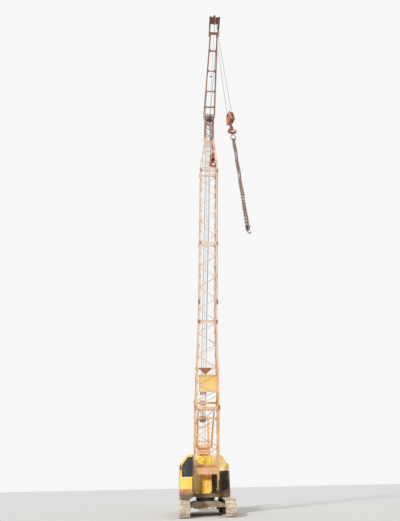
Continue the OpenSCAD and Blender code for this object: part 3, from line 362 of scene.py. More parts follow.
dress = dict(
    boomPaint=["boom_foot", "boom_insert_a", "boom_insert_b", "boom_insert_c", "boom_head"],
    headPaint=["head_sheaves", "jib_sheave"],
    cabPaint=["cab_shell", "cab_door"],
    housePaint=["house_shell"],
    doorPaint=["door_left_a", "door_left_b", "door_right_a", "door_right_b", "door_rear"],
    frontPaint=["front_box"],
    gantryPaint=["gantry", "winch", "backstop_tubes"],
    boardPaint=["boom_board"],
    jibPaint=["jib", "jib_mast", "gantry_block", "bail"],
    mainBlockPaint=["main_block"],
    jibBlockPaint=["jib_block"],
    platformPaint=["deck"],
    ballastPaint=["counterweight"],
    trackSteel=["track_left", "track_right", "idlers", "sprockets"],
    frameSteel=["carbody", "track_frames"],
    darkSteel=["slew_ring", "rollers"],
    rodSteel=["backstop_rods"],
    chainSteel=["sling"],
    engineIron=["engine"],
    wireRope=["jib_stays", "pendants", "main_falls", "jib_falls"],
    cabGlass=["cab_glass"],
    seatCover=["cab_interior"],
)


def dressNodes():
    for finish, names in dress.items():
        for name in names:
            mesh = nodes[name].data
            mesh.materials.clear()
            mesh.materials.append(finishes[finish])
            for face in mesh.polygons:
                face.material_index = 0


dressNodes()

doorPane = (-1.873, -1.865)  # the faces of the cab door's pane lie between these, across the cab


def glazeDoor():  # the pane inside the cab door's own node
    low, high = doorPane
    mesh = nodes["cab_door"].data
    mesh.materials.append(finishes["cabGlass"])
    for face in mesh.polygons:
        if all(low < mesh.vertices[v].co.x < high for v in face.vertices):
            face.material_index = 1


glazeDoor()
print("nodes dressed")


def place(origin, degrees):
    return Matrix.Translation(origin) @ Matrix.Rotation(math.radians(degrees), 4, "X")


def around(radius, degrees):  # a point on a circle, as its two parts
    turn = math.radians(degrees)
    return radius * math.cos(turn), radius * math.sin(turn)


def standOut(side, low, high):  # the ends of something that stands out on one side, in order
    return sorted((side * low, side * high))


def spread(low, high, count):
    return [low + (high - low) * i / (count - 1) for i in range(count)]


def turns(count):  # angles round a full circle
    return [2 * math.pi * k / count for k in range(count)]


def straight(start, stop, steps):  # points along a straight run, the last one left out
    return [start.lerp(stop, k / steps) for k in range(steps)]


corners = [(-1, -1), (-1, 1), (1, -1), (1, 1)]


class Form:  # gathers closed solids into one mesh
    def __init__(self, at=None):
        self.mesh = bmesh.new()
        self.at = at or Matrix()

    def add(self, points, faces):
        verts = [self.mesh.verts.new(self.at @ Vector(p)) for p in points]
        return [self.mesh.faces.new([verts[i] for i in face]) for face in faces]

    def box(self, centre, size, turn=None, chamfer=0.0):
        half = Vector(size) / 2
        turn = turn or Matrix.Identity(3)
        points = [Vector(centre) + turn @ Vector((x * half.x, y * half.y, z * half.z))
                  for x in (-1, 1) for y in (-1, 1) for z in (-1, 1)]
        faces = self.add(points, [(0, 1, 3, 2), (4, 6, 7, 5), (0, 4, 5, 1), (2, 3, 7, 6), (0, 2, 6, 4),
                                  (1, 5, 7, 3)])
        if chamfer:
            edges = {edge for face in faces for edge in face.edges}
            bmesh.ops.bevel(self.mesh, geom=list(edges), offset=chamfer, segments=1, affect="EDGES")
        return self

    def bar(self, start, end, width, depth, chamfer=0.0):  # width across X where it can be
        a, b = Vector(start), Vector(end)
        run = (b - a).normalized()
        flat = Vector((1, 0, 0)) if abs(run.x) < 0.9 else Vector((0, 1, 0))
        side = (flat - run * flat.dot(run)).normalized()
        turn = Matrix((side, run.cross(side), run)).transposed()
        return self.box((a + b) / 2, (width, depth, (b - a).length), turn, chamfer)

    def prism(self, outline, low, high, axis="X"):  # outline in the other two axes, in order
        put = {"X": lambda u, v, w: (w, u, v), "Y": lambda u, v, w: (u, w, v)}[axis]
        n = len(outline)
        points = [put(u, v, low) for u, v in outline] + [put(u, v, high) for u, v in outline]
        sides = [(i, (i + 1) % n, n + (i + 1) % n, n + i) for i in range(n)]
        self.add(points, [tuple(range(n)), tuple(range(n, 2 * n)), *sides])
        return self

    def lathe(self, profile, origin, axis, sides):  # profile: closed ring of (radius, along)
        rows = []
        for a in turns(sides):
            c, s = math.cos(a), math.sin(a)
            put = {"X": lambda r, h: (h, r * c, r * s), "Y": lambda r, h: (r * c, h, r * s),
                   "Z": lambda r, h: (r * c, r * s, h)}[axis]
            rows.append([Vector(origin) + Vector(put(max(r, 1e-5), h)) for r, h in profile])
        n = len(profile)
        faces = [(i * n + j, i * n + (j + 1) % n, (i + 1) % sides * n + (j + 1) % n, (i + 1) % sides * n + j)
                 for i in range(sides) for j in range(n)]
        self.add([p for row in rows for p in row], faces)
        return self

    def drum(self, radius, low, high, origin=(0, 0, 0), axis="X", sides=20, edge=0.003):
        return self.lathe([(0, low), (radius - edge, low), (radius, low + edge), (radius, high - edge),
                           (radius - edge, high), (0, high)], origin, axis, sides)

    def tube(self, path, radius, sides=8, closed=False):
        path = [Vector(p) for p in path]
        n = len(path)
        rings = []
        normal = None
        for i, p in enumerate(path):
            ahead = path[(i + 1) % n] if closed or i < n - 1 else p
            back = path[i - 1] if closed or i > 0 else p
            run = (ahead - back).normalized()
            if normal is None:
                normal = run.orthogonal().normalized()
            normal = (normal - run * normal.dot(run)).normalized()
            other = run.cross(normal)
            rings.append([p + (normal * math.cos(a) + other * math.sin(a)) * radius for a in turns(sides)])
        faces = [(i * sides + k, i * sides + (k + 1) % sides, (i + 1) % n * sides + (k + 1) % sides,
                  (i + 1) % n * sides + k) for i in range(n if closed else n - 1) for k in range(sides)]
        if not closed:
            faces += [tuple(range(sides)), tuple(range((n - 1) * sides, n * sides))]
        self.add([p for ring in rings for p in ring], faces)
        return self

    def finish(self, name, body, finish, slot, replaces=(), smooth=35):
        bmesh.ops.remove_doubles(self.mesh, verts=self.mesh.verts, dist=1e-5)
        bmesh.ops.recalc_face_normals(self.mesh, faces=self.mesh.faces)
        mesh = bpy.data.meshes.new(name)
        self.mesh.to_mesh(mesh)
        self.mesh.free()
        return settle(name, mesh, body, finish, replaces, smooth)


def settle(name, mesh, body, finish, replaces, smooth, blend=None):
    mesh.materials.clear()
    mesh.materials.append(finishes[finish])
    mesh.polygons.foreach_set("use_smooth", [True] * len(mesh.polygons))
    mesh.set_sharp_from_angle(angle=math.radians(smooth))
    piece = bpy.data.objects.get(name) or bpy.data.objects.new(name, mesh)
    piece.data = mesh
    if not piece.users_collection:
        bpy.context.scene.collection.objects.link(piece)
    if blend:
        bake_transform(piece)
    else:
        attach(piece, body)
    for node in replaces:
        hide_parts(node)
    return piece


# geometry node trees, one for each kind of repeated form
class Growth:  # one tree with named inputs, ending in realized instances
    def __init__(self, name, **asks):
        self.tree = bpy.data.node_groups.new(name, "GeometryNodeTree")
        face = self.tree.interface
        face.new_socket("Base", in_out="INPUT", socket_type="NodeSocketGeometry")
        face.new_socket("Result", in_out="OUTPUT", socket_type="NodeSocketGeometry")
        self.ids = {}
        for key, (kind, value) in {**asks, "Finish": ("Material", None)}.items():
            made = face.new_socket(key, in_out="INPUT", socket_type="NodeSocket" + kind)
            if value is not None:
                made.default_value = value
            self.ids[key] = made.identifier
        self.entry = self.tree.nodes.new("NodeGroupInput")

    def ask(self, key):
        return self.entry.outputs[key]

    def node(self, kind, settings=None, values=None, out=0):
        made = self.tree.nodes.new(kind)
        for key, value in (settings or {}).items():
            setattr(made, key, value)
        pairs = values.items() if isinstance(values, dict) else enumerate(values or [])
        for key, value in pairs:
            if isinstance(value, bpy.types.NodeSocket):
                self.tree.links.new(value, made.inputs[key])
            else:
                made.inputs[key].default_value = value
        return made.outputs[out]

    def maths(self, operation, first, second):
        return self.node("ShaderNodeMath", dict(operation=operation), [first, second])

    def times(self, value, factor):
        return self.maths("MULTIPLY", value, factor)

    def less(self, value, key, factor):  # value less so many times the named input
        return self.maths("SUBTRACT", value, self.times(self.ask(key), factor))

    def vector(self, x=0.0, y=0.0, z=0.0):
        return self.node("ShaderNodeCombineXYZ", {}, [x, y, z])

    def facing(self, name, axis):
        towards = self.node("GeometryNodeInputNamedAttribute", dict(data_type="FLOAT_VECTOR"), {"Name": name})
        return self.node("FunctionNodeAlignRotationToVector", dict(axis=axis), {"Vector": towards})

    def onPoints(self, points, instance, rotation):
        return self.node("GeometryNodeInstanceOnPoints", {}, {"Points": points, "Instance": instance,
                                                              "Rotation": rotation})

    def close(self, geometry):
        real = self.node("GeometryNodeRealizeInstances", {}, [geometry])
        done = self.node("GeometryNodeSetMaterial", {}, {"Geometry": real, "Material": self.ask("Finish")})
        self.tree.links.new(done, self.tree.nodes.new("NodeGroupOutput").inputs[0])
        return self


def makeBoltGrowth():  # hexagon heads on washers, standing on their points
    g = Growth("boltGrowth", Radius=("Float", 0.012), Height=("Float", 0.012))
    radius, height = g.ask("Radius"), g.ask("Height")
    head = g.node("GeometryNodeMeshCylinder", dict(fill_type="NGON"),
                  {"Vertices": 6, "Radius": radius, "Depth": height})
    washer = g.node("GeometryNodeMeshCylinder", dict(fill_type="NGON"),
                    {"Vertices": 10, "Radius": g.times(radius, 1.5), "Depth": g.times(height, 0.3)})
    lifted = g.node("GeometryNodeTransform", {},
                    {"Geometry": head, "Translation": g.vector(z=g.times(height, 0.55))})
    both = g.tree.nodes.new("GeometryNodeJoinGeometry")
    g.tree.links.new(lifted, both.inputs[0])
    g.tree.links.new(washer, both.inputs[0])
    return g.close(g.onPoints(g.ask("Base"), both.outputs[0], g.facing("facing", "Z")))


def makeBarGrowth():  # one flat bar on every point, as the slats of a louvre
    g = Growth("barGrowth", Size=("Vector", (1, 0.1, 0.1)), Turn=("Vector", (0, 0, 0)))
    bar = g.node("GeometryNodeMeshCube", {}, {"Size": g.ask("Size")})
    return g.close(g.onPoints(g.ask("Base"), bar, g.node("FunctionNodeEulerToRotation", {}, [g.ask("Turn")])))


def makeRopeGrowth():  # six-strand rope along the base edges
    g = Growth("ropeGrowth", Radius=("Float", 0.011), Pitch=("Float", 0.12), Lay=("Float", 4.0))
    line = g.node("GeometryNodeMeshToCurve", {}, [g.ask("Base")])
    line = g.node("GeometryNodeResampleCurve", dict(mode="LENGTH"), {"Curve": line, "Length": g.ask("Pitch")})
    along = g.node("GeometryNodeSplineParameter", {}, {}, "Length")
    line = g.node("GeometryNodeSetCurveTilt", {}, {"Curve": line, "Tilt": g.times(along, g.ask("Lay"))})
    strand = g.node("GeometryNodeCurveStar", {}, {"Points": 6, "Inner Radius": g.times(g.ask("Radius"), 0.8),
                                                  "Outer Radius": g.ask("Radius")})
    return g.close(g.node("GeometryNodeCurveToMesh", {}, {"Curve": line, "Profile Curve": strand,
                                                          "Fill Caps": True}))


def makeChainGrowth():  # oval links along the base edges, every second one turned
    g = Growth("chainGrowth", Length=("Float", 0.065), Width=("Float", 0.044), Wire=("Float", 0.0065))
    line = g.node("GeometryNodeMeshToCurve", {}, [g.ask("Base")])
    line = g.node("GeometryNodeResampleCurve", dict(mode="LENGTH"),
                  {"Curve": line, "Length": g.less(g.ask("Length"), "Wire", 3.6)})
    oval = g.node("GeometryNodeCurvePrimitiveCircle", dict(mode="RADIUS"), {"Resolution": 10, "Radius": 0.5})
    wide, long = g.less(g.ask("Width"), "Wire", 2.0), g.less(g.ask("Length"), "Wire", 2.0)
    oval = g.node("GeometryNodeTransform", {}, {"Geometry": oval, "Scale": g.vector(wide, long, 1.0)})
    wire = g.node("GeometryNodeCurvePrimitiveCircle", dict(mode="RADIUS"),
                  {"Resolution": 6, "Radius": g.ask("Wire")})
    link = g.node("GeometryNodeCurveToMesh", {}, {"Curve": oval, "Profile Curve": wire})
    turn = g.node("FunctionNodeAlignRotationToVector", dict(axis="Y"),
                  {"Vector": g.node("GeometryNodeInputTangent")})
    odd = g.maths("MODULO", g.node("GeometryNodeInputIndex"), 2.0)
    quarter = g.node("FunctionNodeEulerToRotation", {}, [g.vector(y=g.times(odd, math.pi / 2))])
    turn = g.node("FunctionNodeRotateRotation", dict(rotation_space="LOCAL"),
                  {"Rotation": turn, "Rotate By": quarter})
    return g.close(g.onPoints(line, link, turn))


growths = dict(bolts=makeBoltGrowth(), bars=makeBarGrowth(), ropes=makeRopeGrowth(), chains=makeChainGrowth())


def grow(kind, name, body, finish, slot, points, edges=(), facing=None, at=None, blend=None, replaces=(),
         **sizes):
    growth = growths[kind]
    at = at or Matrix()
    base = bpy.data.meshes.new(name + "Base")
    base.from_pydata([at @ Vector(p) for p in points], edges, [])
    if facing:
        flat = [c for f in facing for c in (at.to_3x3() @ Vector(f)).normalized()]
        base.attributes.new("facing", "FLOAT_VECTOR", "POINT").data.foreach_set("vector", flat)
    piece = bpy.data.objects.new(name, base)
    bpy.context.scene.collection.objects.link(piece)
    modifier = piece.modifiers.new("grow", "NODES")
    modifier.node_group = growth.tree
    modifier[growth.ids["Finish"]] = finishes[finish]
    for key, value in sizes.items():
        modifier[growth.ids[key]] = value
    graph = bpy.context.evaluated_depsgraph_get()
    mesh = bpy.data.meshes.new_from_object(piece.evaluated_get(graph), depsgraph=graph)
    piece.modifiers.clear()
    mesh.name = name
    if "facing" in mesh.attributes:
        mesh.attributes.remove(mesh.attributes["facing"])
    return settle(name, mesh, body, finish, replaces, smooth=40, blend=blend)


class Bolts:  # gathers bolt heads, each with the way it faces
    def __init__(self, at=None):
        self.at = at
        self.points = []
        self.facing = []

    def add(self, point, facing):
        self.points.append(point)
        self.facing.append(facing)

    def finish(self, name, body, finish, slot, radius, height):
        grow("bolts", name, body, finish, slot, self.points, facing=self.facing, at=self.at, Radius=radius,
             Height=height)


def lines(*paths):  # joins polylines into points and edges
    points, edges = [], []
    for path in paths:
        start = len(points)
        points += [tuple(p) for p in path]
        edges += [(start + i, start + i + 1) for i in range(len(path) - 1)]
    return dict(points=points, edges=edges)


# where the crane's own frames stand, in metres and degrees; sheaves and pins on the boom, the jib and the
# mast are in their own axes, whose Z runs along them
crane = dict(pin=(0, -0.95, 1.48), boomLean=28.5, boomLength=29.14, mainSheaves=(0, -0.43, 28.82),
             guideSheaves=(0, 0.095, 28.90), jibLean=70, jibSheave=(0, 0, 6.54), mastLean=-41,
             mastTop=(0, 0, 2.2), gantryTop=(0, 1.2, 6.2), stayPin=(0, 0.45, 29.0), winch=(0, 1.2, 3.84))
# s, width and depth of the boom where its taper changes
stations = [(0, 1.85, 0.26), (0.7, 1.85, 0.43), (5.6, 1.81, 1.15), (11.7133, 1.43, 1.15),
            (17.8267, 1.43, 1.15), (23.94, 1.43, 1.15), (24.74, 1.43, 1.15), (26.2, 0.98, 1.0),
            (26.7, 0.83, 0.94), (29.14, 0.78, 0.70)]
boomAt = place(crane["pin"], crane["boomLean"])
neckPoint = boomAt @ Vector((0, 0, crane["boomLength"]))
jibAt = place(neckPoint, crane["jibLean"])
tipPoint = jibAt @ Vector(crane["jibSheave"])
mastAt = place(neckPoint, crane["mastLean"])
winchPoint = Vector(crane["winch"])
stayRun = boomAt @ Vector(crane["stayPin"]) - Vector(crane["gantryTop"])
stayAt = place(crane["gantryTop"], math.degrees(math.atan2(-stayRun.y, stayRun.z)))


def across(s):  # half width and half depth of the boom at s
    for (a, wa, da), (b, wb, db) in zip(stations, stations[1:]):
        if s <= b:
            break
    t = (s - a) / (b - a)
    return (wa + (wb - wa) * t) / 2, (da + (db - da) * t) / 2


# boom: gussets and bolts where the lacing meets the chords, pinned lugs where the sections meet
boomTrim = dict(bays=[(1.6, 4.555, 3), (4.555, 5.54, 1), (5.6603, 11.6533, 7), (11.7736, 17.7667, 7),
                      (17.887, 23.88, 7), (24.02, 24.68, 1), (24.77, 26.14, 2), (26.76, 27.98, 2)],
                plate=(0.15, 0.24, 0.006), edge=0.02, inset=0.025, boltIn=0.07, boltGap=0.05,
                boltRadius=0.012, boltHeight=0.01, joints=[5.6, 11.7133, 17.8267, 23.94],
                lug=(0.03, 0.10, 0.34), lugSeat=0.004, strap=(0.12, 0.016, 0.26), strapIn=0.065,
                strapOut=0.006, pinRadius=0.026, pinHalf=0.035, pinGap=0.075, keeper=(0.006, 0.075, 0.012),
                keeperOut=0.03)


def dressBoom():
    t = boomTrim
    gussets, bolts = Form(boomAt), Bolts(boomAt)
    wide, tall, thick = t["plate"]
    for low, high, bays in t["bays"]:
        for s in spread(low, high, bays + 1):
            w, d = across(s)
            for sx, sy in corners:
                gussets.box((sx * (w - t["edge"] - wide / 2), sy * (d - t["inset"]), s), (wide, thick, tall))
                gussets.box((sx * (w - t["inset"]), sy * (d - t["edge"] - wide / 2), s), (thick, wide, tall))
                for k in (-t["boltGap"], t["boltGap"]):
                    bolts.add((sx * (w - t["boltIn"]), sy * d, s + k), (0, sy, 0))
                    bolts.add((sx * w, sy * (d - t["boltIn"]), s + k), (sx, 0, 0))
    gussets.finish("boomGussets", "boom", "boomPaint", "orange_paint")
    bolts.finish("boomBolts", "boom", "darkSteel", "dark_steel", t["boltRadius"], t["boltHeight"])


def joinSections():
    t = boomTrim
    lugs, pins = Form(boomAt), Form(boomAt)
    a, b, c = t["lug"]
    for s in t["joints"]:
        w, d = across(s)
        for sx, sy in corners:
            x, y = sx * (w + a / 2 - t["lugSeat"]), sy * (d - b / 2)
            outline = [(b / 2, -c / 2), (b / 2, c / 2), (-b / 5, c / 2), (-b / 2, c / 5), (-b / 2, -c / 5),
                       (-b / 5, -c / 2)]
            lugs.prism([(y + sy * u, s + v) for u, v in outline], x - a / 2, x + a / 2)
            lugs.box((sx * (w - t["strapIn"]), sy * (d + t["strapOut"]), s), t["strap"])
            for k in (-t["pinGap"], t["pinGap"]):
                pins.drum(t["pinRadius"], x - t["pinHalf"], x + t["pinHalf"], (0, y, s + k), sides=14)
                pins.box((x + sx * t["keeperOut"], y, s + k), t["keeper"])
    lugs.finish("sectionLugs", "boom", "jibPaint", "rust_paint")
    pins.finish("sectionPins", "boom", "rodSteel", "dark_steel")


dressBoom()
joinSections()

# boom head: shaft nuts, and rods that keep the ropes on the sheaves
headTrim = dict(reach=(0.385, 0.385, 0.475),
                nut=[(0, -0.004), (0.062, -0.004), (0.062, 0.022), (0.045, 0.03), (0, 0.03)],
                rodAngles=(58, 95, 130, 200), rodOut=0.25, rodRadius=0.012, rodHalf=0.352,
                guideRods=((-0.12, 29.02), (0.02, 29.11)), guideRodRadius=0.010)


def dressHead():
    t = headTrim
    nuts, rods = Form(boomAt), Form(boomAt)
    shafts = [crane["mainSheaves"], crane["guideSheaves"], (0, 0, crane["boomLength"])]
    for shaft, reach in zip(shafts, t["reach"]):
        for sx in (-1, 1):
            nuts.lathe([(r, sx * (reach + out)) for r, out in t["nut"]], shaft, "X", 6)
    mainY, mainS = crane["mainSheaves"][1:]
    for a in t["rodAngles"]:
        y, s = around(t["rodOut"], a)
        rods.drum(t["rodRadius"], -t["rodHalf"], t["rodHalf"], (0, mainY - y, mainS + s), sides=10)
    for y, s in t["guideRods"]:
        rods.drum(t["guideRodRadius"], -t["rodHalf"], t["rodHalf"], (0, y, s), sides=10)
    nuts.finish("headNuts", "boom", "rodSteel", "dark_steel")
    rods.finish("ropeKeepers", "boom", "darkSteel", "dark_steel")


dressHead()

# ropes: hoist lines up the boom, the jib's line, luffing falls and line, and the rope wound on the drum.
# a hoist is (x at the drum, x at the guide sheave, degrees where it leaves that), a fall (x at the gantry's
# end, x at the bail's), and over a sheave a rope has (degrees where it meets it, arc from, to, points)
ropeTrim = dict(hoist=0.010, hoistPitch=0.10, hoistLay=7.0, hoists=[(-0.10, -0.06, 150), (0.12, 0.06, 125)],
                hoistSteps=60, guideSteps=8, tipSteps=8, onDrum=0.211, onGuide=0.168, onMain=0.213,
                mainX=-0.15, overMain=(100, 115, 160, 5), onTip=0.223, overTip=(70, 72, 160, 7), blendRun=1.5,
                luff=0.009, luffLay=9.0,
                falls=[(-0.18, -0.165), (-0.06, -0.055), (0.06, 0.055), (0.18, 0.165)], fallPitch=0.08,
                gantryHalf=0.187, bailHalf=0.173, fallRun=1.48, fallBlend=(0.2, 1.3),
                lineFoot=(0.2, 0.211, 0), lineHead=(0.18, 1.405, 6.2), linePitch=0.1, coil=0.0115,
                coilRadius=0.209, coilTurns=22, coilSteps=20, coilStart=-0.27, coilWidth=0.54)


def onRing(centre, radius, degrees, x):  # where a rope touches a sheave
    y, z = around(radius, degrees)
    return (x, centre.y + y, centre.z + z)


def ringPath(centre, radius, start, end, steps, x):
    return [onRing(centre, radius, a, x) for a in spread(start, end, steps)]


def hangHoists():
    t = ropeTrim
    guide, main = boomAt @ Vector(crane["guideSheaves"]), boomAt @ Vector(crane["mainSheaves"])
    # both run straight between the rear sides of the drum and of the guide sheave
    run = (guide - winchPoint).normalized()
    rear = Vector((0, run.z, -run.y))
    leaves, meets = winchPoint + rear * t["onDrum"], guide + rear * t["onGuide"]
    first = math.degrees(math.atan2(rear.z, rear.y))
    paths = []
    for drumX, guideX, last in t["hoists"]:
        start, stop = leaves + Vector((drumX, 0, 0)), meets + Vector((guideX, 0, 0))
        over = ringPath(guide, t["onGuide"], first, last, t["guideSteps"], guideX)
        paths.append([*straight(start, stop, t["hoistSteps"]), *over])
    # one goes on over a main sheave, the other out to the jib's tip
    meet, *arc = t["overMain"]
    end, onto = Vector(paths[0][-1]), Vector(onRing(main, t["onMain"], meet, t["mainX"]))
    paths[0] += [end.lerp(onto, 0.5), onto, *ringPath(main, t["onMain"], *arc, t["mainX"])]
    meet, *arc = t["overTip"]
    end, onto = Vector(paths[1][-1]), Vector(onRing(tipPoint, t["onTip"], meet, 0.0))
    paths[1] += [*straight(end, onto, t["tipSteps"])[1:], *ringPath(tipPoint, t["onTip"], *arc, 0.0)]
    grow("ropes", "hoistRopes", "superstructure", "wireRope", "rope_steel", **lines(*paths),
         Radius=t["hoist"], Pitch=t["hoistPitch"], Lay=t["hoistLay"],
         blend=("boom", tuple(leaves), tuple(leaves + run * t["blendRun"])))


def hangLuffing():
    t = ropeTrim
    # eight falls between the gantry block and the floating bail
    falls = [[stayAt @ Vector((x, side * t["gantryHalf"], 0)),
              stayAt @ Vector((q, side * t["bailHalf"], t["fallRun"]))]
             for x, q in t["falls"] for side in (-1, 1)]
    fromEnd, toEnd = (tuple(stayAt @ Vector((0, 0, s))) for s in t["fallBlend"])
    grow("ropes", "luffingFalls", "stay_block", "wireRope", "rope_steel", **lines(*falls), Radius=t["luff"],
         Pitch=t["fallPitch"], Lay=t["luffLay"], blend=("stays", fromEnd, toEnd))
    # the line from the winch up to the gantry block
    grow("ropes", "luffingLine", "superstructure", "wireRope", "rope_steel",
         **lines([winchPoint + Vector(t["lineFoot"]), Vector(t["lineHead"])]), Radius=t["luff"],
         Pitch=t["linePitch"], Lay=t["luffLay"])


def windDrum():
    t = ropeTrim
    coil, path = Form(), []
    count = t["coilTurns"] * t["coilSteps"]
    for k in range(count + 1):
        path.append(onRing(winchPoint, t["coilRadius"], 360 * k / t["coilSteps"],
                           t["coilStart"] + t["coilWidth"] * k / count))
    coil.tube(path, t["coil"], 6)
    coil.finish("drumRope", "superstructure", "wireRope", "rope_steel", smooth=60)


hangHoists()
hangLuffing()
windDrum()
print("boom dressed")

# chain sling: legs of long-link chain with hooks, hanging from the jib hook
slingTrim = dict(seed=7, ringLow=12.82, bottom=7.96,
                 legs=[(-0.042, -0.012), (-0.012, 0.022), (0.02, -0.020), (0.046, 0.014)], lowest=-0.18,
                 highest=0.22, link=0.105, width=0.062, wire=0.0095, sway=0.012, swayX=(2.1, 90),
                 swayY=(1.7, 70), bends=12, ringHalf=(0.10, 0.19), ringSteps=26, ringTaper=0.25,
                 ringWire=0.016, ringUp=0.155, masterHalf=(0.022, 0.06), masterSteps=14, masterWire=0.010,
                 masterUp=-0.02, chainUp=-0.06,
                 hook=[(0.0, 0.02), (0.0, -0.05), (0.035, -0.085), (0.052, -0.13), (0.03, -0.175),
                       (-0.012, -0.18), (-0.04, -0.15), (-0.045, -0.115)],
                 hookWire=0.015, collar=(0.024, -0.02, 0.03))


def hangSling():
    t = slingTrim
    y0 = tipPoint.y
    rng = random.Random(t["seed"])
    hooks = Form()
    # the ring is narrower at its top, and each leg hangs from a link of its own
    wide, tall = t["ringHalf"]
    middle = t["ringLow"] + t["ringUp"]
    hooks.tube([(wide * math.sin(a) * (1 - t["ringTaper"] * math.cos(a)), y0, middle + tall * math.cos(a))
                for a in turns(t["ringSteps"])], t["ringWire"], 8, closed=True)
    wide, tall = t["masterHalf"]
    middle = t["ringLow"] + t["masterUp"]
    for x, y in t["legs"]:
        hooks.tube([(x + wide * math.sin(a), y0 + y, middle + tall * math.cos(a))
                    for a in turns(t["masterSteps"])], t["masterWire"], 6, closed=True)
    paths = []
    high = t["ringLow"] + t["chainUp"]
    (u, v), (p, q) = t["swayX"], t["swayY"]
    for x, y in t["legs"]:
        low = t["bottom"] + rng.uniform(t["lowest"], t["highest"])
        path = [Vector((x + t["sway"] * math.sin(u * k + x * v), y0 + y + t["sway"] * math.cos(p * k + y * q),
                        high + (low - high) * k / t["bends"])) for k in range(t["bends"] + 1)]
        paths.append(path)
        # grab hook under each leg
        turn = rng.uniform(0, 2 * math.pi)
        c, s = math.cos(turn), math.sin(turn)
        foot = path[-1]
        hooks.tube([foot + Vector((r * c, r * s, up)) for r, up in t["hook"]], t["hookWire"], 8)
        radius, down, up = t["collar"]
        hooks.drum(radius, foot.z + down, foot.z + up, (foot.x, foot.y, 0), "Z", 10)
    hooks.finish("slingHooks", "jib_hook", "darkSteel", "chain_steel", replaces=["sling"], smooth=60)
    grow("chains", "slingChains", "jib_hook", "chainSteel", "chain_steel", **lines(*paths),
         replaces=["sling"], Length=t["link"], Width=t["width"], Wire=t["wire"])


hangSling()

# hook blocks: cheek bolts, shaft nuts, straps, rope guards, swivel nuts and latches; what is called down is
# measured from the block's top, and a strap is (down, length as a share of the half width, height)
blockTrim = [dict(name="mainBlock", body="main_hook", turn=11, cheek=0.12, half=0.21, top=21.0, axle=0.225,
                  sheave=0.2, eye=20.11, hook=0.17, nut=0.052),
             dict(name="jibBlock", body="jib_hook", turn=22, cheek=0.095, half=0.19, top=14.92, axle=0.20,
                  sheave=0.175, eye=13.67, hook=0.12, nut=0.045)]
blockFit = dict(boltDown=(0.06, 0.40, 0.56, 0.72), boltIn=0.065, topBoltIn=0.105, boltRadius=0.012,
                boltHeight=0.010, washer=(0.012, -0.002, 0.014),
                nut=[(0, 0.012), (1, 0.012), (1, 0.045), (0.8, 0.052), (0, 0.052)],
                keeper=(0.012, 0.10, 0.028), keeperOut=0.008, keeperDown=0.1,
                straps=[(0.66, 1.5, 0.05), (0.44, 1.4, 0.03)], strapOut=0.004, strapThick=0.012,
                chamfer=0.003, guardAngles=(35, 145), guardRadius=0.011, guardShort=0.01,
                guardIn=0.02, guardUp=0.035,
                swivelNut=[(0, 0), (0.42, 0), (0.42, 0.05), (0.34, 0.075), (0, 0.075)], swivelUp=0.08,
                plate=[(0, 0), (0.55, 0), (0.55, 0.03), (0, 0.03)], plateUp=0.05,
                latch=((0.30, -0.35), (1.12, -1.35), 0.042, 0.008, 0.002),
                latchPin=(0.014, 0.032, 0.30, -0.33))


def dressBlock(t, y0):
    f = blockFit
    at = Matrix.Translation((0, y0, t["top"])) @ Matrix.Rotation(math.radians(t["turn"]), 4, "Z")
    bits, bolts = Form(at), Bolts(at)
    c, h, axle = t["cheek"], t["half"], (0, 0, -t["axle"])
    for sx in (-1, 1):
        for down in f["boltDown"]:
            inside = f["topBoltIn"] if down == f["boltDown"][0] else f["boltIn"]
            for y in (-1, 1):
                bolts.add((sx * c, y * (h - inside), -down), (sx, 0, 0))
        wider, low, high = f["washer"]
        bits.drum(t["nut"] + wider, *standOut(sx, c + low, c + high), axle)
        bits.lathe([(r * t["nut"], sx * (c + out)) for r, out in f["nut"]], axle, "X", 6)
        bits.box((sx * (c + f["keeperOut"]), 0, -t["axle"] - f["keeperDown"]), f["keeper"],
                 chamfer=f["chamfer"])
        for down, share, tall in f["straps"]:
            bits.box((sx * (c + f["strapOut"]), 0, -down), (f["strapThick"], share * h, tall),
                     chamfer=f["chamfer"])
    for a in f["guardAngles"]:
        y, z = around(1, a)
        guard = (0, (t["sheave"] - f["guardIn"]) * y, (t["sheave"] + f["guardUp"]) * z - t["axle"])
        bits.drum(f["guardRadius"], -c + f["guardShort"], c - f["guardShort"], guard, sides=10)
    # swivel nut with its plate, and the spring latch across the hook's mouth
    bits.at = Matrix.Translation((0, y0, 0))
    eye, r = t["eye"], t["hook"]
    bits.lathe([(u * r, up) for u, up in f["swivelNut"]], (0, 0, eye + f["swivelUp"]), "Z", 6)
    bits.lathe([(u * r, up) for u, up in f["plate"]], (0, 0, eye + f["plateUp"]), "Z", 24)
    (x0, z0), (x1, z1), wide, thick, chamfer = f["latch"]
    bits.bar((x0 * r, 0, eye + z0 * r), (x1 * r, 0, eye + z1 * r), wide, thick, chamfer)
    radius, half, x, z = f["latchPin"]
    bits.drum(radius, -half, half, (x * r, 0, eye + z * r), "Y", 10)
    bits.finish(t["name"] + "Fittings", t["body"], "darkSteel", "dark_steel")
    bolts.finish(t["name"] + "Bolts", t["body"], "darkSteel", "dark_steel", f["boltRadius"], f["boltHeight"])


headPoint = boomAt @ Vector(crane["mainSheaves"])
for block, point in zip(blockTrim, (headPoint, tipPoint)):
    dressBlock(block, point.y)

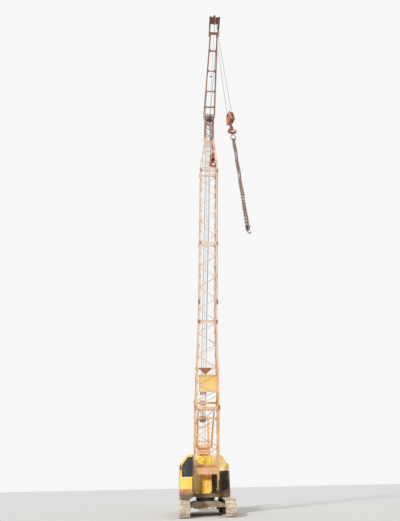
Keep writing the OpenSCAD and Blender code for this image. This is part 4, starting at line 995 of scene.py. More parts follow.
# jib: node plates, tip plates' flanges and bolts, rope roller, warning lamp and the sockets of its stays;
# pairs are across the jib and along it or through it
jibTrim = dict(rungs=[0.77, 1.94, 3.36, 4.69], length=5.84, feet=(1.0, 0.58), depth=(0.64, 0.42), bays=8,
               firstBay=0.24, lastShort=0.3, plate=(0.13, 0.006, 0.18), plateIn=(0.085, 0.012),
               boltGap=0.045, boltIn=0.05, sidePlate=(0.006, 0.11, 0.15), sideIn=(0.02, 0.075),
               sideBoltIn=0.045, flange=(0.058, 0.008, 1.19), flangeAt=(0.356, 0.186, 6.18),
               roller=(0.035, 0.084, 14), rollerAt=(0, 0.35, 3.0), rollerFoot=(0.012, 0.16, 0.09),
               rollerFootAt=(0.09, 0.30, 3.0), tipBolts=(5.66, 5.80, 6.1, 6.66), tipBoltAt=(0.327, 0.15),
               boltRadius=0.011, boltHeight=0.009, tipNut=(0.058, 0.326, 0.348),
               footNut=(0.05, 0.494, 0.514), keeperAngles=(60, 330), keeperOut=0.262, keeper=(0.010, 0.305))
lampTrim = dict(post=(0, 0.168, 6.75),
                ring=[(0, 0.22), (0.050, 0.22), (0.085, 0.25), (0.085, 0.30), (0.066, 0.31), (0.066, 0.42),
                      (0.040, 0.46), (0, 0.47)])
socketTrim = dict(mastX=0.227, mastOut=0.02, tip=(0.285, 0.3, 0.16), rear=(0.3, 0.51, 26.64), radius=0.026,
                  start=0.05, length=0.28, rings=(0.3, 0.7), tie=(0.315, 0.15, 6.3), tieSize=(0.03, 0.05))


def jibHalf(s):  # half width and half depth of the jib at s
    k = s / jibTrim["length"]
    (w0, w1), (d0, d1) = jibTrim["feet"], jibTrim["depth"]
    return (w0 + (w1 - w0) * k) / 2, (d0 + (d1 - d0) * k) / 2


def dressJib():
    t = jibTrim
    plates, bolts, bits = Form(jibAt), Bolts(jibAt), Form(jibAt)
    for s in t["rungs"]:
        w, d = jibHalf(s)
        for sx, sy in corners:
            plates.box((sx * (w - t["plateIn"][0]), sy * (d - t["plateIn"][1]), s), t["plate"])
            for k in (-t["boltGap"], t["boltGap"]):
                bolts.add((sx * (w - t["boltIn"]), sy * d, s + k), (0, sy, 0))
    for i in range(t["bays"] + 1):
        s = t["firstBay"] + i * (t["length"] - t["lastShort"]) / t["bays"]
        w, d = jibHalf(s)
        for sx, sy in corners:
            plates.box((sx * (w - t["sideIn"][0]), sy * (d - t["sideIn"][1]), s), t["sidePlate"])
            bolts.add((sx * w, sy * (d - t["sideBoltIn"]), s), (sx, 0, 0))
    x, y, s = t["flangeAt"]
    for sx, sy in corners:
        plates.box((sx * x, sy * y, s), t["flange"])
    x, y, s = t["rollerFootAt"]
    plates.box((x, y, s), t["rollerFoot"]).box((-x, y, s), t["rollerFoot"])
    plates.finish("jibPlates", "boom", "jibPaint", "rust_paint")
    x, deep = t["tipBoltAt"]
    for sx in (-1, 1):
        for s in t["tipBolts"]:
            for y in (-deep, deep):
                bolts.add((sx * x, y, s), (sx, 0, 0))
    bolts.finish("jibBolts", "boom", "darkSteel", "dark_steel", t["boltRadius"], t["boltHeight"])
    # roller that keeps the rope off the lacing, nuts of the tip's and the foot's pins, the tip's rope keepers
    radius, half, sides = t["roller"]
    bits.drum(radius, -half, half, t["rollerAt"], sides=sides)
    for sx in (-1, 1):
        for (radius, low, high), origin in ((t["tipNut"], crane["jibSheave"]), (t["footNut"], (0, 0, 0))):
            bits.drum(radius, *standOut(sx, low, high), origin, sides=6)
    radius, half = t["keeper"]
    for a in t["keeperAngles"]:
        y, s = around(t["keeperOut"], a)
        bits.drum(radius, -half, half, (0, y, crane["jibSheave"][2] + s), sides=10)
    bits.at = Matrix()
    bits.lathe(lampTrim["ring"], jibAt @ Vector(lampTrim["post"]), "Z", 18)
    bits.finish("jibFittings", "boom", "darkSteel", "dark_steel")


def socketStays():  # where the stays meet the mast, the tip and the boom
    t = socketTrim
    ends = Form()
    mast = mastAt @ Vector(crane["mastTop"])
    for sx in (-1, 1):
        x, y, z = t["tip"]
        tipEnd = Vector((sx * x, tipPoint.y + y, tipPoint.z + z))
        x, y, s = t["rear"]
        rearEnd = boomAt @ Vector((sx * x, y, s))
        for out, b in ((-t["mastOut"], tipEnd), (t["mastOut"], rearEnd)):
            a = Vector((sx * t["mastX"], mast.y + out, mast.z))
            run = (b - a).normalized()
            for p, q in ((a + run * t["start"], a + run * t["length"]), (b - run * t["length"], b)):
                ends.tube([p, *[p.lerp(q, k) for k in t["rings"]], q], t["radius"], 10)
        x, y, s = t["tie"]
        ends.bar(tipEnd, jibAt @ Vector((sx * x, y, s)), *t["tieSize"])
    ends.finish("staySockets", "boom", "rodSteel", "rope_steel", smooth=60)


dressJib()
socketStays()
print("jib and hooks dressed")

# tracks: bolts on every shoe, ribs, rails, caps and tension screws on the frames, hoses of the travel motors
trackTrim = dict(gauge=3.06, length=4.9, height=0.98, grouser=0.045, shoes=52,
                 boltX=(-0.27, -0.10, 0.10, 0.27), boltU=(0.0, 0.062), seat=0.020, shoeBolt=(0.014, 0.010),
                 plateX=0.14, ribs=11, ribReach=1.68, rib=(0.026, 0.028, 0.30), ribUp=0.47,
                 ribOut=0.012, upperRail=(0.044, 4.0, 0.022), upperUp=0.655, upperOut=0.02,
                 lowerRail=(0.026, 3.1, 0.03), lowerUp=0.36,
                 chamfer=0.004, rollers=8, rollerFrom=-1.47, rollerStep=0.42, rollerUp=0.2753,
                 rollerCap=(0.040, 0.020, 0.036), capBoltX=0.024, capBolt=0.042, hubY=1.96, hubUp=0.49,
                 hubCap=(0.078, 0.038, 0.056), hubBoltX=0.040, hubBolts=0.094, frameBolt=(0.010, 0.009),
                 tension=(0.03, 0.34, 0.11), tensionAt=(0.172, -1.70), tensionChamfer=0.006,
                 screw=(0.022, -1.56, -1.40), screwX=0.178, hose=0.016,
                 hosePath=[(0.30, 0.55, 0.82, 0.06), (0.5, 0.80, 0.83, 0.06), (0.75, 1.15, 0.70, 0),
                           (0.95, 1.55, 0.62, -0.05), (1.0, 1.80, 0.60, -0.05), (1.02, 1.93, 0.58, 0)])


def loopPoint(s, u, n):  # on the track's loop at s, then u along it and n out from it
    t = trackTrim
    half, mid = (t["length"] - t["height"]) / 2, t["height"] / 2
    r = mid - t["grouser"]
    if s < 2 * half:
        y, z, a = -half + s, mid - r, 0.0
    elif s < 2 * half + math.pi * r:
        a = (s - 2 * half) / r
        y, z = half + r * math.sin(a), mid - r * math.cos(a)
    elif s < 4 * half + math.pi * r:
        y, z, a = half - (s - 2 * half - math.pi * r), mid + r, math.pi
    else:
        a = (s - 4 * half - math.pi * r) / r + math.pi
        y, z = -half - r * math.sin(a - math.pi), mid + r * math.cos(a - math.pi)
    c, k = math.cos(a), math.sin(a)
    return (y + u * c + n * k, z + u * k - n * c), (k, -c)


def boltShoes():
    t = trackTrim
    half = (t["length"] - t["height"]) / 2
    loop = 4 * half + 2 * math.pi * (t["height"] / 2 - t["grouser"])
    pitch = loop / t["shoes"]
    bolts = Bolts()
    for i in range(t["shoes"]):
        s = (half + (i + 0.5) * pitch) % loop
        for u in t["boltU"]:
            (y, z), (ny, nz) = loopPoint(s, u, t["seat"])
            for x in t["boltX"]:
                for sx in (-1, 1):
                    bolts.add((sx * t["gauge"] / 2 + x, y, z), (0, ny, nz))
    bolts.finish("shoeBolts", "undercarriage", "trackSteel", "track_steel", *t["shoeBolt"])


def dressFrames():
    t = trackTrim
    trim, caps, bolts = Form(), Form(), Bolts()
    for sx in (-1, 1):
        base = sx * t["gauge"] / 2
        for q in (-1, 1):
            face = base + q * t["plateX"]
            for y in spread(-t["ribReach"], t["ribReach"], t["ribs"]):
                trim.box((face + q * t["ribOut"], y, t["ribUp"]), t["rib"], chamfer=t["chamfer"])
            trim.box((face + q * t["upperOut"], 0, t["upperUp"]), t["upperRail"], chamfer=t["chamfer"])
            trim.box((face + q * t["ribOut"], 0, t["lowerUp"]), t["lowerRail"], chamfer=t["chamfer"])
            radius, low, high = t["rollerCap"]
            for i in range(t["rollers"]):
                y = t["rollerFrom"] + i * t["rollerStep"]
                caps.drum(radius, *sorted((face + q * low, face + q * high)), (0, y, t["rollerUp"]), sides=16)
                for k in (-t["capBolt"], t["capBolt"]):
                    bolts.add((face + q * t["capBoltX"], y + k, t["rollerUp"]), (q, 0, 0))
            radius, low, high = t["hubCap"]
            for y in (-t["hubY"], t["hubY"]):
                caps.drum(radius, *sorted((face + q * low, face + q * high)), (0, y, t["hubUp"]), sides=24)
                for a in range(0, 360, 60):
                    v, z = around(t["hubBolts"], a)
                    bolts.add((face + q * t["hubBoltX"], y + v, t["hubUp"] + z), (q, 0, 0))
        # tension screws at the idler end
        x, y = t["tensionAt"]
        for q in (-1, 1):
            trim.box((base + q * x, y, t["hubUp"]), t["tension"], chamfer=t["tensionChamfer"])
            caps.drum(*t["screw"], (base + q * t["screwX"], 0, t["hubUp"]), "Y", 10)
    trim.finish("frameRibs", "undercarriage", "frameSteel", "track_steel")
    caps.finish("hubCaps", "undercarriage", "frameSteel", "track_steel")
    bolts.finish("frameBolts", "undercarriage", "darkSteel", "dark_steel", *t["frameBolt"])


def hoseTracks():  # from the swivel to the travel motors, each path (x, y, z, the second hose's shift in y)
    t = trackTrim
    hoses = Form()
    for sx in (-1, 1):
        for k in (0, 1):
            hoses.tube([(sx * x, y + shift * k, z) for x, y, z, shift in t["hosePath"]], t["hose"])
    hoses.finish("travelHoses", "undercarriage", "rubber", "dark_steel", smooth=60)


boltShoes()
dressFrames()
hoseTracks()
print("tracks dressed")

# machine house: ribs, seams, hatches, lifting eyes, screws and the frame of its radiator;
# boxes are (middle, size) and the radiator frame's bars (x, z, wide, high)
house = dict(x=1.8, front=-0.60, rear=2.95, top=3.47, eaves=2.91, foot=1.31, middle=1.18,
             sill=(0.022, 3.5, 0.05), sillOut=0.004, gutter=(0.026, 3.5, 0.030), gutterOut=0.006,
             gutterDown=0.035, ribs=(-0.42, 0.05, 0.93, 1.81, 2.30, 2.86), rib=(0.014, 0.035),
             ribShort=0.02, screwsUp=(1.42, 1.9, 2.4, 2.82), screwOut=0.006, screw=(0.010, 0.008),
             roofSlope=((1.30, 3.462), (1.53, 3.15)), slopeBar=(0.03, 0.016),
             post=(1.775, 2.10, (0.05, 0.016, 1.58)), seamX=(0.62, 1.10), seamUp=3.02, seamOut=0.003,
             seam=(0.022, 0.012, 0.74), seat=0.004, radiatorOut=0.006, radiatorDeep=0.022,
             radiator=[(1.085, 2.53, 1.33, 0.05), (1.085, 1.352, 1.33, 0.045), (0.44, 1.935, 0.045, 1.21),
                       (1.73, 1.935, 0.045, 1.21)],
             radiatorScrews=(0.46, 1.71, 7), radiatorScrewOut=0.017, roofSeams=(-0.10, 0.62, 1.86, 2.45),
             roofSeam=(2.5, 0.05, 0.012), hatchWide=0.62, hatchTall=0.032,
             hatches=[(0.95, 0.24, 0.95, 0.50), (1.0, 2.16, 0.9, 0.42), (-0.95, 2.16, 0.9, 0.42)],
             hinges=0.2, hinge=(0.012, 0.05, 0.006),
             handle=(0.08, 0.06, 0.03, 0.07, 0.008), eyeX=1.22, eyeY=(-0.45, 2.70), eyeHalf=0.011,
             eye=[(-0.07, -0.01), (0.07, -0.01), (0.04, 0.085), (-0.04, 0.085)],
             eyeRing=[(0.020, -0.016), (0.034, -0.016), (0.034, 0.016), (0.020, 0.016)], eyeRingUp=0.05)
tailTrim = dict(lamp=(0.17, 0.05, 0.09), lampAt=(1.55, 0.022, 2.42), tieAt=(0.62, 3.32),
                tieNut=(0.07, 2.14, 2.20), tieWasher=(0.10, 2.14, 2.16), lugX=1.15, lugHalf=0.02,
                lug=[(3.20, 2.15), (3.44, 2.15), (3.40, 2.26), (3.24, 2.26)])


def dressSides(trim, screws):
    h = house
    for sx in (-1, 1):
        side, tall = sx * h["x"], h["eaves"] - h["foot"]
        for y in h["ribs"]:
            middle = (side, y, (h["foot"] + h["eaves"]) / 2)
            trim.box(middle, (*h["rib"], tall - h["ribShort"]), chamfer=0.004)
            for z in h["screwsUp"]:
                screws.add((side + sx * h["screwOut"], y, z), (sx, 0, 0))
        trim.box((side + sx * h["sillOut"], h["middle"], h["foot"]), h["sill"], chamfer=0.006)
        trim.box((side + sx * h["gutterOut"], h["middle"], h["eaves"] - h["gutterDown"]), h["gutter"],
                 chamfer=0.008)


def dressFrontWall(trim, screws):
    h = house
    (x0, z0), (x1, z1) = h["roofSlope"]
    x, z, size = h["post"]
    y = h["front"]
    for sx in (-1, 1):
        trim.bar((sx * x0, y + h["seat"], z0), (sx * x1, y + h["seat"], z1), *h["slopeBar"])
        trim.box((sx * x, y - h["seat"], z), size, chamfer=0.005)
    for x in h["seamX"]:
        trim.box((x, y - h["seamOut"], h["seamUp"]), h["seam"], chamfer=0.003)
    for x, z, wide, high in h["radiator"]:
        trim.box((x, y - h["radiatorOut"], z), (wide, h["radiatorDeep"], high), chamfer=0.006)
    for x in spread(*h["radiatorScrews"]):
        for z in (h["radiator"][0][1], h["radiator"][1][1]):
            screws.add((x, y - h["radiatorScrewOut"], z), (0, -1, 0))


def dressRoof(trim, steel):
    h = house
    top = h["top"]
    for y in h["roofSeams"]:
        trim.box((0, y, top + h["seat"]), h["roofSeam"], chamfer=0.004)
    half, inside, low, high, thick = h["handle"]
    for x, y, wide, deep in h["hatches"]:
        tall = h["hatchTall"]
        trim.box((x, y, top + tall / 2), (wide * h["hatchWide"], deep, tall), chamfer=0.012)
        radius, reach, behind = h["hinge"]
        for k in (-h["hinges"], h["hinges"]):
            steel.drum(radius, x + k - reach, x + k + reach, (0, y + deep / 2 + behind, top + low), sides=10)
        front = y - deep / 2 + inside
        steel.tube([(x - half, front, top + low), (x - half, front, top + high),
                    (x + half, front, top + high), (x + half, front, top + low)],
                   thick)
    for x in (-h["eyeX"], h["eyeX"]):
        for y in h["eyeY"]:
            steel.prism([(y + u, top + v) for u, v in h["eye"]], x - h["eyeHalf"], x + h["eyeHalf"])
            steel.lathe(h["eyeRing"], (x, y, top + h["eyeRingUp"]), "X", 14)


def dressTail(steel):  # tail lamps, and the tie bolts and lugs of the counterweight
    t = tailTrim
    for sx in (-1, 1):
        x, y, z = t["lampAt"]
        steel.box((sx * x, house["rear"] + y, z), t["lamp"], chamfer=0.01)
        x, y = t["tieAt"]
        steel.drum(*t["tieNut"], (sx * x, y, 0), "Z", 6)
        steel.drum(*t["tieWasher"], (sx * x, y, 0), "Z", 20)
        steel.prism(t["lug"], sx * t["lugX"] - t["lugHalf"], sx * t["lugX"] + t["lugHalf"])


def dressHouse():
    trim, steel, screws = Form(), Form(), Bolts()
    dressSides(trim, screws)
    dressFrontWall(trim, screws)
    dressRoof(trim, steel)
    dressTail(steel)
    trim.finish("houseTrim", "superstructure", "housePaint", "pale_yellow")
    steel.finish("roofFittings", "superstructure", "darkSteel", "dark_steel")
    screws.finish("houseScrews", "superstructure", "housePaint", "pale_yellow", *house["screw"])


dressHouse()

# doors of the house: pressed louvres, handle and stiffening strips, each riding on its own door;
# doors are (node, side, its two ends, where the handle is)
doorTable = [("door_left_a", -1, 0.10, 0.90, 0.82), ("door_left_b", -1, 0.96, 1.76, 1.04),
             ("door_right_a", 1, 0.10, 0.90, 0.82), ("door_right_b", 1, 0.96, 1.76, 1.04)]
doorTrim = dict(seat=0.006, louvreGap=0.16, louvres=(1.62, 2.12, 8), slat=(0.020, 0.24, 0.022),
                slatLean=0.55, plate=(0.014, 0.09, 0.16), plateUp=2.20,
                grip=(2.15, 2.26, 0.014, 0.022, 0.004), gripOut=0.022, lugs=(2.14, 2.26),
                lug=(0.024, 0.018, 0.014), lugOut=0.014, strips=(1.46, 2.74), strip=(0.012, 0.08, 0.02),
                stripOut=0.004, rearY=2.956, rearStraps=(-0.42, 0.42), rearUp=2.58,
                rearStrap=(0.05, 0.014, 0.52), rearLatch=(0.14, 0.024, 0.08),
                rearLatchAt=(0.18, 2.962, 2.34), rearX=(-0.20, 0.20), rearLouvres=(2.46, 2.80, 6),
                rearSlat=(0.30, 0.020, 0.022))


def dressDoor(name, side, y0, y1, grip):
    t = doorTrim
    x, middle = side * house["x"], (y0 + y1) / 2
    label = "".join(w.capitalize() for w in name.split("_"))
    slats = [(x + side * t["seat"], middle + k, z) for k in (-t["louvreGap"], t["louvreGap"])
             for z in spread(*t["louvres"])]
    grow("bars", "louvres" + label, name, "doorPaint", "yellow_paint", slats, Size=t["slat"],
         Turn=(0.0, side * t["slatLean"], 0.0))
    bits = Form()
    bits.box((x + side * t["seat"], grip, t["plateUp"]), t["plate"], chamfer=0.005)
    low, high, *section = t["grip"]
    out = x + side * t["gripOut"]
    bits.bar((out, grip, low), (out, grip, high), *section)
    for z in t["lugs"]:
        bits.box((x + side * t["lugOut"], grip, z), t["lug"], chamfer=0.002)
    thick, short, tall = t["strip"]
    for z in t["strips"]:
        bits.box((x + side * t["stripOut"], middle, z), (thick, y1 - y0 - short, tall), chamfer=0.003)
    bits.finish("latch" + label, name, "darkSteel", "dark_steel")


def dressRearDoor():
    t = doorTrim
    bits = Form()
    for x in t["rearStraps"]:
        bits.box((x, t["rearY"], t["rearUp"]), t["rearStrap"], chamfer=0.005)
    bits.box(t["rearLatchAt"], t["rearLatch"], chamfer=0.006)
    bits.finish("latchDoorRear", "door_rear", "darkSteel", "dark_steel")
    grow("bars", "louvresDoorRear", "door_rear", "doorPaint", "yellow_paint",
         [(x, t["rearY"], z) for x in t["rearX"] for z in spread(*t["rearLouvres"])], Size=t["rearSlat"],
         Turn=(-t["slatLean"], 0.0, 0.0))


for door in doorTable:
    dressDoor(*door)
dressRearDoor()

# valve box ahead of the house: frame strips, lid, louvres, handles and the hoses to the boom's foot
valveTrim = dict(x=0.06, face=-1.083, rows=(1.34, 1.86, 2.38), row=(0.70, 0.014, 0.035),
                 posts=(-0.27, 0.06, 0.39), post=(0.035, 0.016, 1.04), lidAt=(-0.84, 2.41),
                 lid=(0.74, 0.52, 0.022), upperFace=-0.664, upperRows=(2.84, 3.40),
                 upperRow=(0.96, 0.014, 0.032), upperPosts=(-0.46, 0, 0.46), upperPost=(0.03, 0.014, 0.58),
                 chamfer=0.004, louvreX=(-0.105, 0.225), louvres=(1.98, 2.28, 7), slat=(0.24, 0.018, 0.020),
                 slatLean=0.55, slatOut=0.003, handleX=(-0.16, 0.12), handleUp=1.60, handleOut=0.009,
                 handle=(0.03, 0.02, 0.10), hoses=4, hose=0.014,
                 hosePath=[((0.40, -0.98, 1.50), (0, 0.03, 0.10)), ((0.45, -1.0, 1.48), (0.028, 0, 0.10)),
                           ((0.53, -1.03, 1.36), (0.028, 0, 0)), ((0.56, -1.02, 1.16), (0.028, 0, 0)),
                           ((0.48, -0.90, 1.07), (0.028, 0, 0))])


def dressValveBox(steel):
    t = valveTrim
    box, hoses = Form(), Form()
    for z in t["rows"]:
        box.box((t["x"], t["face"], z), t["row"], chamfer=t["chamfer"])
    for x in t["posts"]:
        box.box((x, t["face"], t["rows"][1]), t["post"], chamfer=t["chamfer"])
    box.box((t["x"], *t["lidAt"]), t["lid"], chamfer=0.006)
    for z in t["upperRows"]:
        box.box((0, t["upperFace"], z), t["upperRow"], chamfer=t["chamfer"])
    for x in t["upperPosts"]:
        box.box((x, t["upperFace"], sum(t["upperRows"]) / 2), t["upperPost"], chamfer=t["chamfer"])
    box.finish("valveBoxTrim", "superstructure", "frontPaint", "orange_paint")
    grow("bars", "valveBoxLouvres", "superstructure", "frontPaint", "orange_paint",
         [(x, t["face"] - t["slatOut"], z) for x in t["louvreX"] for z in spread(*t["louvres"])],
         Size=t["slat"], Turn=(t["slatLean"], 0.0, 0.0))
    for x in t["handleX"]:
        steel.box((x, t["face"] - t["handleOut"], t["handleUp"]), t["handle"], chamfer=0.005)
    for k in range(t["hoses"]):  # each beside the last by the step that goes with every point
        hoses.tube([Vector(at) + Vector(step) * k for at, step in t["hosePath"]], t["hose"])
    hoses.finish("valveHoses", "superstructure", "rubber", "dark_steel", smooth=60)


# gantry: gussets on the front legs, nuts, bolts of the winch cheeks, winch motor, and a ladder on the right
# rear leg; legs are (y at their foot, y at their head) between two heights
gantryTrim = dict(heights=(1.17, 6.14), frontLeg=(-0.18, 1.14), rearLeg=(2.857, 1.26), gussets=(4.5, 5.6),
                  gusset=[(-0.06, -0.16), (0.10, -0.16), (0.10, 0.16), (-0.06, 0.16)],
                  gussetX=(0.503, 0.513), gussetBolts=(-0.10, 0.10), gussetBoltY=0.02,
                  nut=(0.075, 0.548, 0.575), cheekX=0.365, feetUp=(3.62, 3.95),
                  feetY=(0.92, 1.06, 1.34, 1.48), cheekBolts=0.15, bolt=(0.013, 0.011),
                  motor=[(0.12, 0.365, 0.50), (0.085, 0.50, 0.60)], motorEdge=0.012,
                  ladder=dict(x=0.56, wide=0.28, out=0.07, low=3.53, high=5.97, rail=0.014,
                              rungs=(0.04, 0.96, 9), rung=0.011, brackets=(0.1, 0.5, 0.9),
                              bracket=(-0.08, -0.02, 0), bracketSize=(0.02, 0.03)))


def dressGantry(steel):
    t = gantryTrim
    low, high = t["heights"]
    bolts = Bolts()
    foot, head = t["frontLeg"]
    for sx in (-1, 1):
        for z in t["gussets"]:
            y = foot + (z - low) * ((head - foot) / (high - low))
            steel.prism([(y + u, z + v) for u, v in t["gusset"]], *standOut(sx, *t["gussetX"]))
            for k in t["gussetBolts"]:
                bolts.add((sx * t["gussetX"][1], y + t["gussetBoltY"], z + k), (sx, 0, 0))
        radius, near, far = t["nut"]
        steel.drum(radius, *standOut(sx, near, far), crane["gantryTop"], sides=6)
        for z in t["feetUp"]:
            for y in t["feetY"]:
                bolts.add((sx * t["cheekX"], y, z), (sx, 0, 0))
        for a in range(0, 360, 45):
            bolts.add(onRing(winchPoint, t["cheekBolts"], a, sx * t["cheekX"]), (sx, 0, 0))
    for cylinder in t["motor"]:
        steel.drum(*cylinder, winchPoint, sides=24, edge=t["motorEdge"])
    steel.finish("gantryFittings", "superstructure", "jibPaint", "dark_steel")
    bolts.finish("gantryBolts", "superstructure", "darkSteel", "dark_steel", *t["bolt"])


def hangLadder():
    t = gantryTrim["ladder"]
    low, high = gantryTrim["heights"]
    foot, head = gantryTrim["rearLeg"]
    lean = (foot - head) / (high - low)
    ends = [Vector((t["x"], foot - (z - low) * lean + t["out"], z)) for z in (t["low"], t["high"])]
    side = Vector((t["wide"], 0, 0))
    ladder = Form()
    ladder.tube(ends, t["rail"]).tube([end + side for end in ends], t["rail"])
    for k in spread(*t["rungs"]):
        p = ends[0].lerp(ends[1], k)
        ladder.tube([p, p + side], t["rung"])
    for k in t["brackets"]:
        p = ends[0].lerp(ends[1], k)
        ladder.bar(p + Vector(t["bracket"]), p, *t["bracketSize"])
    ladder.finish("gantryLadder", "superstructure", "gantryPaint", "orange_paint", smooth=60)


def dressFront():
    steel = Form()
    dressValveBox(steel)
    dressGantry(steel)
    hangLadder()


dressFront()
print("house dressed")

# cab: window gaskets, wiper, panel seams, mirror, grab rails, step and lamp glasses; a window on a side
# is (x, its two ends, low, high), a box (middle, size) and a bar (start, end, width, depth)
cabTrim = dict(face=-2.252,
               front=[(-1.73, 2.18), (-1.03, 2.18), (-1.03, 3.31), (-1.33, 3.31), (-1.73, 2.835)],
               sides=[(-1.89, -1.04, -0.74, 2.20, 2.76), (-1.89, -2.15, -1.98, 2.26, 2.78),
                      (-0.965, -2.12, -1.50, 2.26, 3.06), (-0.965, -1.40, -0.84, 2.26, 3.06)],
               rear=(-1.70, -1.14, 2.26, 2.82), rearFace=-0.658, gasket=0.013,
               blade=((-1.30, -2.270, 2.24), (-1.22, -2.270, 2.86), 0.012, 0.014),
               arm=((-1.38, -2.272, 2.19), (-1.26, -2.280, 2.56), 0.014, 0.008),
               spindle=(0.022, -2.285, -2.246, (-1.38, 0, 2.185)),
               roofSlope=((-1.74, -2.256, 3.05), (-1.34, -2.256, 3.44), 0.022, 0.014),
               roofEdge=((-1.17, -2.256, 3.425), (0.36, 0.016, 0.024)),
               seams=[((-1.43, -2.253, 2.06), (0.88, 0.010, 0.020)),
                      ((-1.43, -2.253, 1.535), (0.90, 0.012, 0.022)),
                      ((-1.893, -1.95, 2.05), (0.012, 0.03, 1.55)),
                      ((-1.893, -0.72, 2.05), (0.012, 0.03, 1.55)),
                      ((-1.893, -1.45, 1.29), (0.012, 1.55, 0.03)),
                      ((-1.15, -1.95, 3.453), (0.34, 0.035, 0.012)),
                      ((-1.15, -1.3, 3.453), (0.34, 0.035, 0.012))],
               corner=((-0.998, -2.254, 2.36), (0.060, 0.016, 2.10)),
               mirrorArm=[(-1.86, -2.20, 2.92), (-1.87, -2.33, 2.94), (-1.86, -2.36, 2.84)],
               mirrorRod=0.010, mirror=((-1.86, -2.37, 2.70), (0.11, 0.025, 0.26)),
               rails=((-1.945, 1.55, 2.55), (-1.075, 1.55, 2.10)), railX=(-1.885, -1.922), railBend=0.03,
               rail=0.011, step=((-1.82, -1.50, 1.045), (0.15, 0.44, 0.022)), stepStays=(-1.70, -1.30),
               stepStay=(-1.76, 1.04, 1.16), stepStaySize=(0.02, 0.035),
               lamps=(-1.71, -1.13), lampUp=1.4,
               lampGlass=[(0, -2.306), (0.058, -2.306), (0.052, -2.316), (0.030, -2.322), (0, -2.324)])


def gasketWindows():
    t = cabTrim
    rubber = Form()
    x0, x1, low, high = t["rear"]
    y = t["rearFace"]
    frames = [[(x, t["face"], z) for x, z in t["front"]],
              *[[(x, y0, z0), (x, y1, z0), (x, y1, z1), (x, y0, z1)] for x, y0, y1, z0, z1 in t["sides"]],
              [(x0, y, low), (x1, y, low), (x1, y, high), (x0, y, high)]]
    for path in frames:
        rubber.tube(path, t["gasket"], 6, closed=True)
    rubber.bar(*t["blade"])
    rubber.finish("windowGaskets", "superstructure", "rubber", "dark_steel", smooth=60)


def dressCab():
    t = cabTrim
    trim, steel, glass = Form(), Form(), Form()
    steel.bar(*t["arm"]).drum(*t["spindle"], "Y", 12)
    trim.bar(*t["roofSlope"]).box(*t["roofEdge"], chamfer=0.004)
    for seam in t["seams"]:
        trim.box(*seam, chamfer=0.003)
    trim.finish("cabTrim", "superstructure", "cabPaint", "yellow_paint")
    steel.box(*t["corner"], chamfer=0.004)
    steel.tube(t["mirrorArm"], t["mirrorRod"]).box(*t["mirror"], chamfer=0.010)
    inner, outer = t["railX"]
    for y, low, high in t["rails"]:
        bend = t["railBend"]
        steel.tube([(inner, y, low), (outer, y, low + bend), (outer, y, high - bend), (inner, y, high)],
                   t["rail"])
    steel.box(*t["step"], chamfer=0.004)
    x, low, high = t["stepStay"]
    for y in t["stepStays"]:
        steel.bar((x, y, low), (x, y, high), *t["stepStaySize"])
    steel.finish("cabFittings", "superstructure", "darkSteel", "dark_steel")
    for x in t["lamps"]:
        glass.lathe(t["lampGlass"], (x, 0, t["lampUp"]), "Y", 24)
    glass.finish("lampGlasses", "superstructure", "lampGlass", "cab_glass", smooth=60)


gasketWindows()
dressCab()


def power(value, exponent):
    return math.copysign(abs(value) ** exponent, value)


# crowned closed pad: full in the middle, sides pulled in between the corners, sewn in channels on top
padShape = dict(plan=0.32, section=0.55, crown=0.8, pull=0.035, channel=0.010, channels=3.2, fade=0.3,
                sides=40, rows=15)


def pillow(form, centre, half, lean):
    p = padShape
    sides, rows = p["sides"], p["rows"]
    turn = Matrix.Rotation(math.radians(lean), 3, "X")
    points = []
    for i in range(rows):
        b = math.pi * ((i + 0.5) / rows - 0.5)
        level, up = power(math.cos(b), p["section"]), power(math.sin(b), p["crown"])
        for k in range(sides):
            a = 2 * math.pi * k / sides
            inset = 1 - p["pull"] * math.cos(2 * a) ** 2
            x = half[0] * level * power(math.cos(a), p["plan"]) * inset
            y = half[1] * level * power(math.sin(a), p["plan"]) * inset
            z = half[2] * up
            wave = abs(math.sin(p["channels"] * math.pi * x / (2 * half[0]))) - 1
            sewn = p["channel"] * wave if z > 0 else 0
            points.append(Vector(centre) + turn @ Vector((x, y, z + sewn * math.cos(b) ** p["fade"])))
    faces = [(i * sides + k, i * sides + (k + 1) % sides, (i + 1) * sides + (k + 1) % sides,
              (i + 1) * sides + k)
             for i in range(rows - 1) for k in range(sides)]
    faces += [tuple(range(sides)), tuple(range((rows - 1) * sides, rows * sides))]
    form.add(points, faces)


